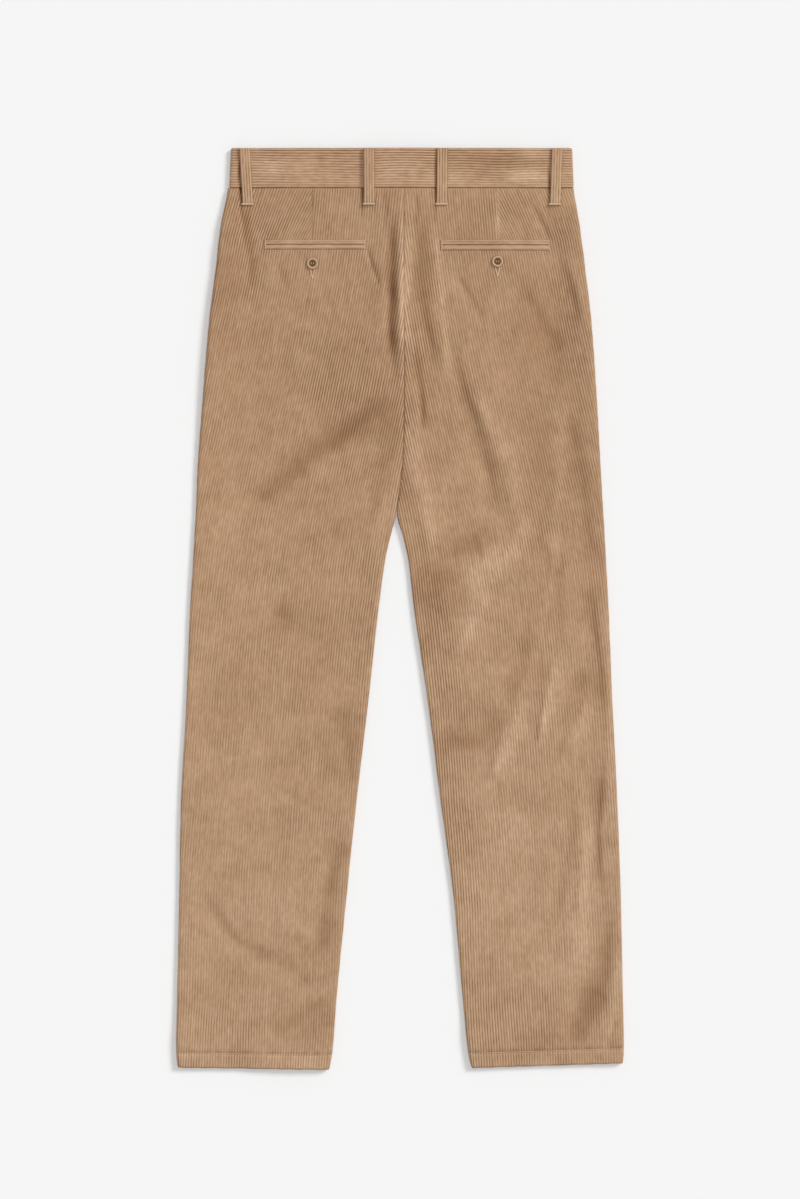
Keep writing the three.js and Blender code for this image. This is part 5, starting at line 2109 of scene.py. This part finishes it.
@dataclass
class Button:
    """A four-hole horn button with a raised rim round a dished middle, sewn on with two bars of thread.

    Its rings are shares of its radius, and its shades are how much painted shade darkens its dish, its edge
    and its sides.
    """

    node: str
    centre: tuple[float, float, float]
    radius: float
    wardrobe: Wardrobe
    layer: Layer = Layer.BACK
    thickness: float = BUTTON_THICKNESS
    spokes: int = 72
    hole_offset: float = 0.19
    hole_radius: float = 0.12
    hole_depth: float = 0.4
    side_rings: tuple[float, ...] = (0.985, 0.93, 0.8)
    side_heights: tuple[float, ...] = (0.45, 0.12, 0.0)
    dish_shade: float = 0.9
    edge_shade: float = 0.8
    side_shade: float = 0.9
    middle_shade: float = 0.75

    def profile(self, share: Array) -> Array:
        """The height of the button's face at a share of its radius."""
        dish = 0.5 + 0.06 * share**2
        rim = 0.46 * hump(share - 0.77, 0.13)
        return self.thickness * (dish + rim - 0.28 * turned_down(1 - share, 0.16))

    def build(self) -> None:
        """Makes the button and its thread."""
        face = np.concatenate([np.linspace(0, 0.5, 20)[1:], np.linspace(0.5, 1, 16)[1:]])
        shade = np.where(face < 0.6, self.dish_shade, 0.0) + np.where(face > 0.95, self.edge_shade, 0.0)
        rings = np.concatenate([face, self.side_rings])
        heights = np.concatenate([self.profile(face), self.thickness * np.array(self.side_heights)])
        shade = np.concatenate([shade, np.full(len(self.side_rings), self.side_shade)])
        angle = np.linspace(0, 2 * math.pi, self.spokes, endpoint=False)
        x = self.radius * rings[:, None] * np.cos(angle)
        y = self.radius * rings[:, None] * np.sin(angle)
        holes = self._holes(x, y)
        up = self.layer.value
        z = up * (heights[:, None] - self.hole_depth * self.thickness * holes)
        middles = [[0, 0, up * float(self.profile(np.zeros(1))[0])], [0, 0, 0]]
        around = np.stack([x, y, z], axis=-1).reshape(-1, 3)
        points = np.concatenate([around, middles]) + np.array(self.centre)
        # Painted shade in the dish, on the edge, down the sides and in the holes.
        painted_shade = np.append(np.clip(shade[:, None] + holes, 0, 1), [self.middle_shade, 0])
        piece = write_mesh(f"horn_{self.node}", points, self._faces(len(rings), up < 0), {"painted_shade": painted_shade})
        piece.data.materials.append(self.wardrobe.horn)
        finish_piece(piece, [self.node])
        self._thread()

    def _holes(self, x: Array, y: Array) -> Array:
        """How deep the four holes go at points of the face, from 0 to 1."""
        depth = np.zeros(x.shape)
        reach = self.hole_offset * self.radius
        for side_x, side_y in itertools.product((-1, 1), (-1, 1)):
            share = np.hypot(x - side_x * reach, y - side_y * reach) / self.radius
            depth = depth + ease(self.hole_radius * 1.3, self.hole_radius * 0.7, share)
        return depth

    def _faces(self, ring_count: int, turned: bool) -> list[list[int]]:
        """Works out the faces between the rings, with a fan at the top and the bottom.

        Args:
            ring_count: how many rings there are.
            turned: whether the button looks down.

        Returns:
            The corners of each face.
        """
        n = self.spokes
        top, last = ring_count * n, (ring_count - 1) * n
        faces = []
        for start, k in itertools.product(range(0, last, n), range(n)):
            a, b = start + k, start + (k + 1) % n
            faces.append([a, a + n, b + n, b])
        for k in range(n):
            after = (k + 1) % n
            faces += [[top, k, after], [top + 1, last + after, last + k]]
        return [face[::-1] for face in faces] if turned else faces

    def _thread(self) -> None:
        """Makes the two bars of thread that cross the button between its holes."""
        offset = self.hole_offset * self.radius
        t = np.linspace(-0.9, 0.9, 12)
        z = self.layer.value * (self.thickness * 0.56 + 0.28 * (1 - t**4) - 0.5 * np.abs(t) ** 8)
        paths = []
        for strand, side in itertools.product((-0.22, 0.22), (-1, 1)):
            x = np.full(t.shape, side * offset + strand)
            paths.append(np.stack([x, t * offset, z], axis=-1) + np.array(self.centre))
        self.wardrobe.sewn(f"thread_{self.node}", paths, BUTTON_THREAD, "button")


@dataclass
class HemStitching:
    """The line of stitches that holds a leg's turned-up hem, on its back and on its front."""

    wardrobe: Wardrobe
    panels: tuple[LegPanel, LegPanel]

    def build(self) -> None:
        """Makes the stitches."""
        side = self.panels[0].side
        drop = (HEMS[side].outer + HEMS[side].inner) / 2 - HEM_TURN_UP
        paths = []
        for panel in self.panels:
            ends = sorted([float(panel.lay.outer(side, drop)), float(panel.inner_edge(drop))])
            x = np.linspace(ends[0] + EDGE_RADIUS, ends[1] - EDGE_RADIUS, 90)
            line = panel.from_hem(x, drop) + drop - HEM_TURN_UP
            over = 0.05 if panel.layer is Layer.BACK else FRONT_STITCH_LIFT
            paths.append(points_at(x, line, panel.height(x, line) + over))
        self.wardrobe.sewn(f"hem_{side.name.lower()}_stitching", paths, HEM_STITCH)


@dataclass
class Fly:
    """The zip under the fly's lap, with its teeth, and the topstitching that shows on the front."""

    lay: Lay
    wardrobe: Wardrobe
    panel: LegPanel
    stitch_inset: float = 34.0
    turn_radius: float = 30.0

    def build(self) -> None:
        """Dresses the zip's tape and makes its teeth and the fly's topstitching."""
        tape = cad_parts["fly_zip"]
        tape.data.materials.clear()
        tape.data.materials.append(self.wardrobe.tape)
        drop = np.linspace(BAND_HEIGHT + FRONT_DIP + 6, FLY_END - 28, 60)
        x = self.lay.centre(drop) + (FLY_LAP - FLY_UNDERLAP) / 2
        z = self.lay.waist_lift(x, drop) + CLOTH + SEAM + ZIP_THICKNESS + 0.15
        teeth = points_at(x, drop, z)
        self.wardrobe.sewn("fly_zip_teeth", [teeth], ZIP_TOOTH, "zip_tape", self.wardrobe.brass)
        self._topstitching()

    def _topstitching(self) -> None:
        """Makes the line of stitches that runs down the front and turns in to the fly's end."""
        down = np.linspace(BAND_HEIGHT + FRONT_DIP + 3, FLY_END - 34, 50)
        turn = np.linspace(0, math.pi / 2, 20)[1:]
        drop = np.concatenate([down, down[-1] + self.turn_radius * np.sin(turn)])
        turned = np.concatenate([0 * down, self.turn_radius * (1 - np.cos(turn))])
        x = self.lay.centre(drop) + FLY_LAP - self.stitch_inset + turned
        path = points_at(x, drop, self.panel.height(x, drop) + FRONT_STITCH_LIFT)
        self.wardrobe.sewn("fly_topstitching", [path], FLY_STITCH)


@dataclass
class Studio:
    """The pale floor, the soft light and the camera that looks straight down, with the photograph's frame."""

    floor_size: float = 40.0
    floor_z: float = -0.0002
    floor_grey: float = 0.815
    view_height: float = 6.0
    photo_scale: float = 1.16
    photo_height: int = 1199
    waist_row: float = 148.5
    sensor: float = 36.0
    world_strength: float = 0.36
    overhead_strength: float = 1.25
    overhead_softness: float = 30.0
    key_strength: float = 1.9
    key_softness: float = 20.0
    key_direction: tuple[float, float, float] = (0.66, 0.44, 0.62)

    def set_camera(self) -> None:
        """Makes the camera, which frames the garment as the photograph does."""
        data = bpy.data.cameras.new("camera")
        data.sensor_fit = "VERTICAL"
        data.sensor_height = self.sensor
        data.lens = self.sensor * self.view_height / (self.photo_height * self.photo_scale * MM)
        data.clip_end = 50
        camera = put_in_scene("camera", data)
        middle_drop = (self.photo_height / 2 - self.waist_row) * self.photo_scale
        camera.location = (0.0, (TOP_Y - middle_drop) * MM, self.view_height)
        bpy.context.scene.camera = camera

    def set_floor(self) -> None:
        """Makes the floor."""
        half = self.floor_size / 2
        corners = [(x * half, y * half, self.floor_z) for x, y in ((-1, -1), (1, -1), (1, 1), (-1, 1))]
        mesh = bpy.data.meshes.new("floor")
        mesh.from_pydata(corners, [], [(0, 1, 2, 3)])
        material, build = new_material("floor")
        grey = (self.floor_grey, self.floor_grey, self.floor_grey, 1.0)
        build.surface({"Base Color": grey, "Roughness": 0.9, "Specular IOR Level": 0.1})
        mesh.materials.append(material)
        put_in_scene("floor", mesh)

    def set_light(self) -> None:
        """Makes the soft key light from the upper right and the light that comes from all round."""
        world = bpy.data.worlds.new("studio")
        bpy.context.scene.world = world
        world.use_nodes = True
        sky = world.node_tree.nodes["Background"]
        sky.inputs["Color"].default_value = (1.0, 1.0, 1.0, 1.0)
        sky.inputs["Strength"].default_value = self.world_strength
        self._sun("key", self.key_strength, self.key_softness, self.key_direction)
        self._sun("overhead", self.overhead_strength, self.overhead_softness, (0.0, 0.0, 1.0))
        view = bpy.context.scene.view_settings
        view.view_transform = "Standard"
        view.look = "None"

    @staticmethod
    def _sun(name: str, strength: float, softness: float, direction: tuple[float, float, float]) -> None:
        """Makes one distant soft light.

        Args:
            name: its name.
            strength: its strength.
            softness: how wide it looks, in degrees.
            direction: where it shines from.
        """
        sun = bpy.data.lights.new(name, "SUN")
        sun.energy = strength
        sun.angle = math.radians(softness)
        put_in_scene(name, sun).rotation_euler = Vector(direction).to_track_quat("Z", "Y").to_euler()


def build_waistbands(lay: Lay, wardrobe: Wardrobe) -> None:
    """Makes the waistband: one piece across the back, and two across the front that lap at the fly.

    Args:
        lay: how the garment lies.
        wardrobe: the finishes and trees.
    """
    left, right = (float(lay.outer(side, 0.0)) for side in Side)
    middle = float(lay.centre(0.0))
    Waistband("waistband_back", Layer.BACK, (left, right), (True, True), lay, wardrobe).build()
    lapping = (left, middle + BAND_LAP)
    Waistband("waistband_front_left", Layer.FRONT, lapping, (True, False), lay, wardrobe).build()
    lapped = (middle - BAND_UNDERLAP, right)
    Waistband("waistband_front_right", Layer.FRONT, lapped, (False, True), lay, wardrobe, raised=True).build()


def main() -> None:
    """Builds the studio and every piece of the garment, in order."""
    logging.basicConfig(level=logging.INFO, format="%(name)s %(message)s")
    studio = Studio()
    studio.set_camera()
    studio.set_floor()
    studio.set_light()
    lay = Lay()
    wardrobe = Wardrobe()
    darts = {spot.side: spot.button_x for spot in POCKETS}
    for side in Side:
        back = LegPanel(side, Layer.BACK, lay, wardrobe, dart_x=darts[side])
        front = LegPanel(side, Layer.FRONT, lay, wardrobe, row_step=10.0)
        back.build()
        front.build()
        HemStitching(wardrobe, (back, front)).build()
        if side is Side.LEFT:
            Fly(lay, wardrobe, front).build()
    build_waistbands(lay, wardrobe)
    BeltLoops(lay, wardrobe).build()
    for spot in POCKETS:
        WeltPocket(spot, lay, wardrobe).build()
    middle = float(lay.centre(0.0))
    centre = (middle - 2, TOP_Y - BAND_HEIGHT / 2 - FRONT_DIP, BUTTON_THICKNESS)
    Button("waist_button", centre, 8.5, wardrobe, Layer.FRONT).build()


if __name__ == "__main__":
    main()
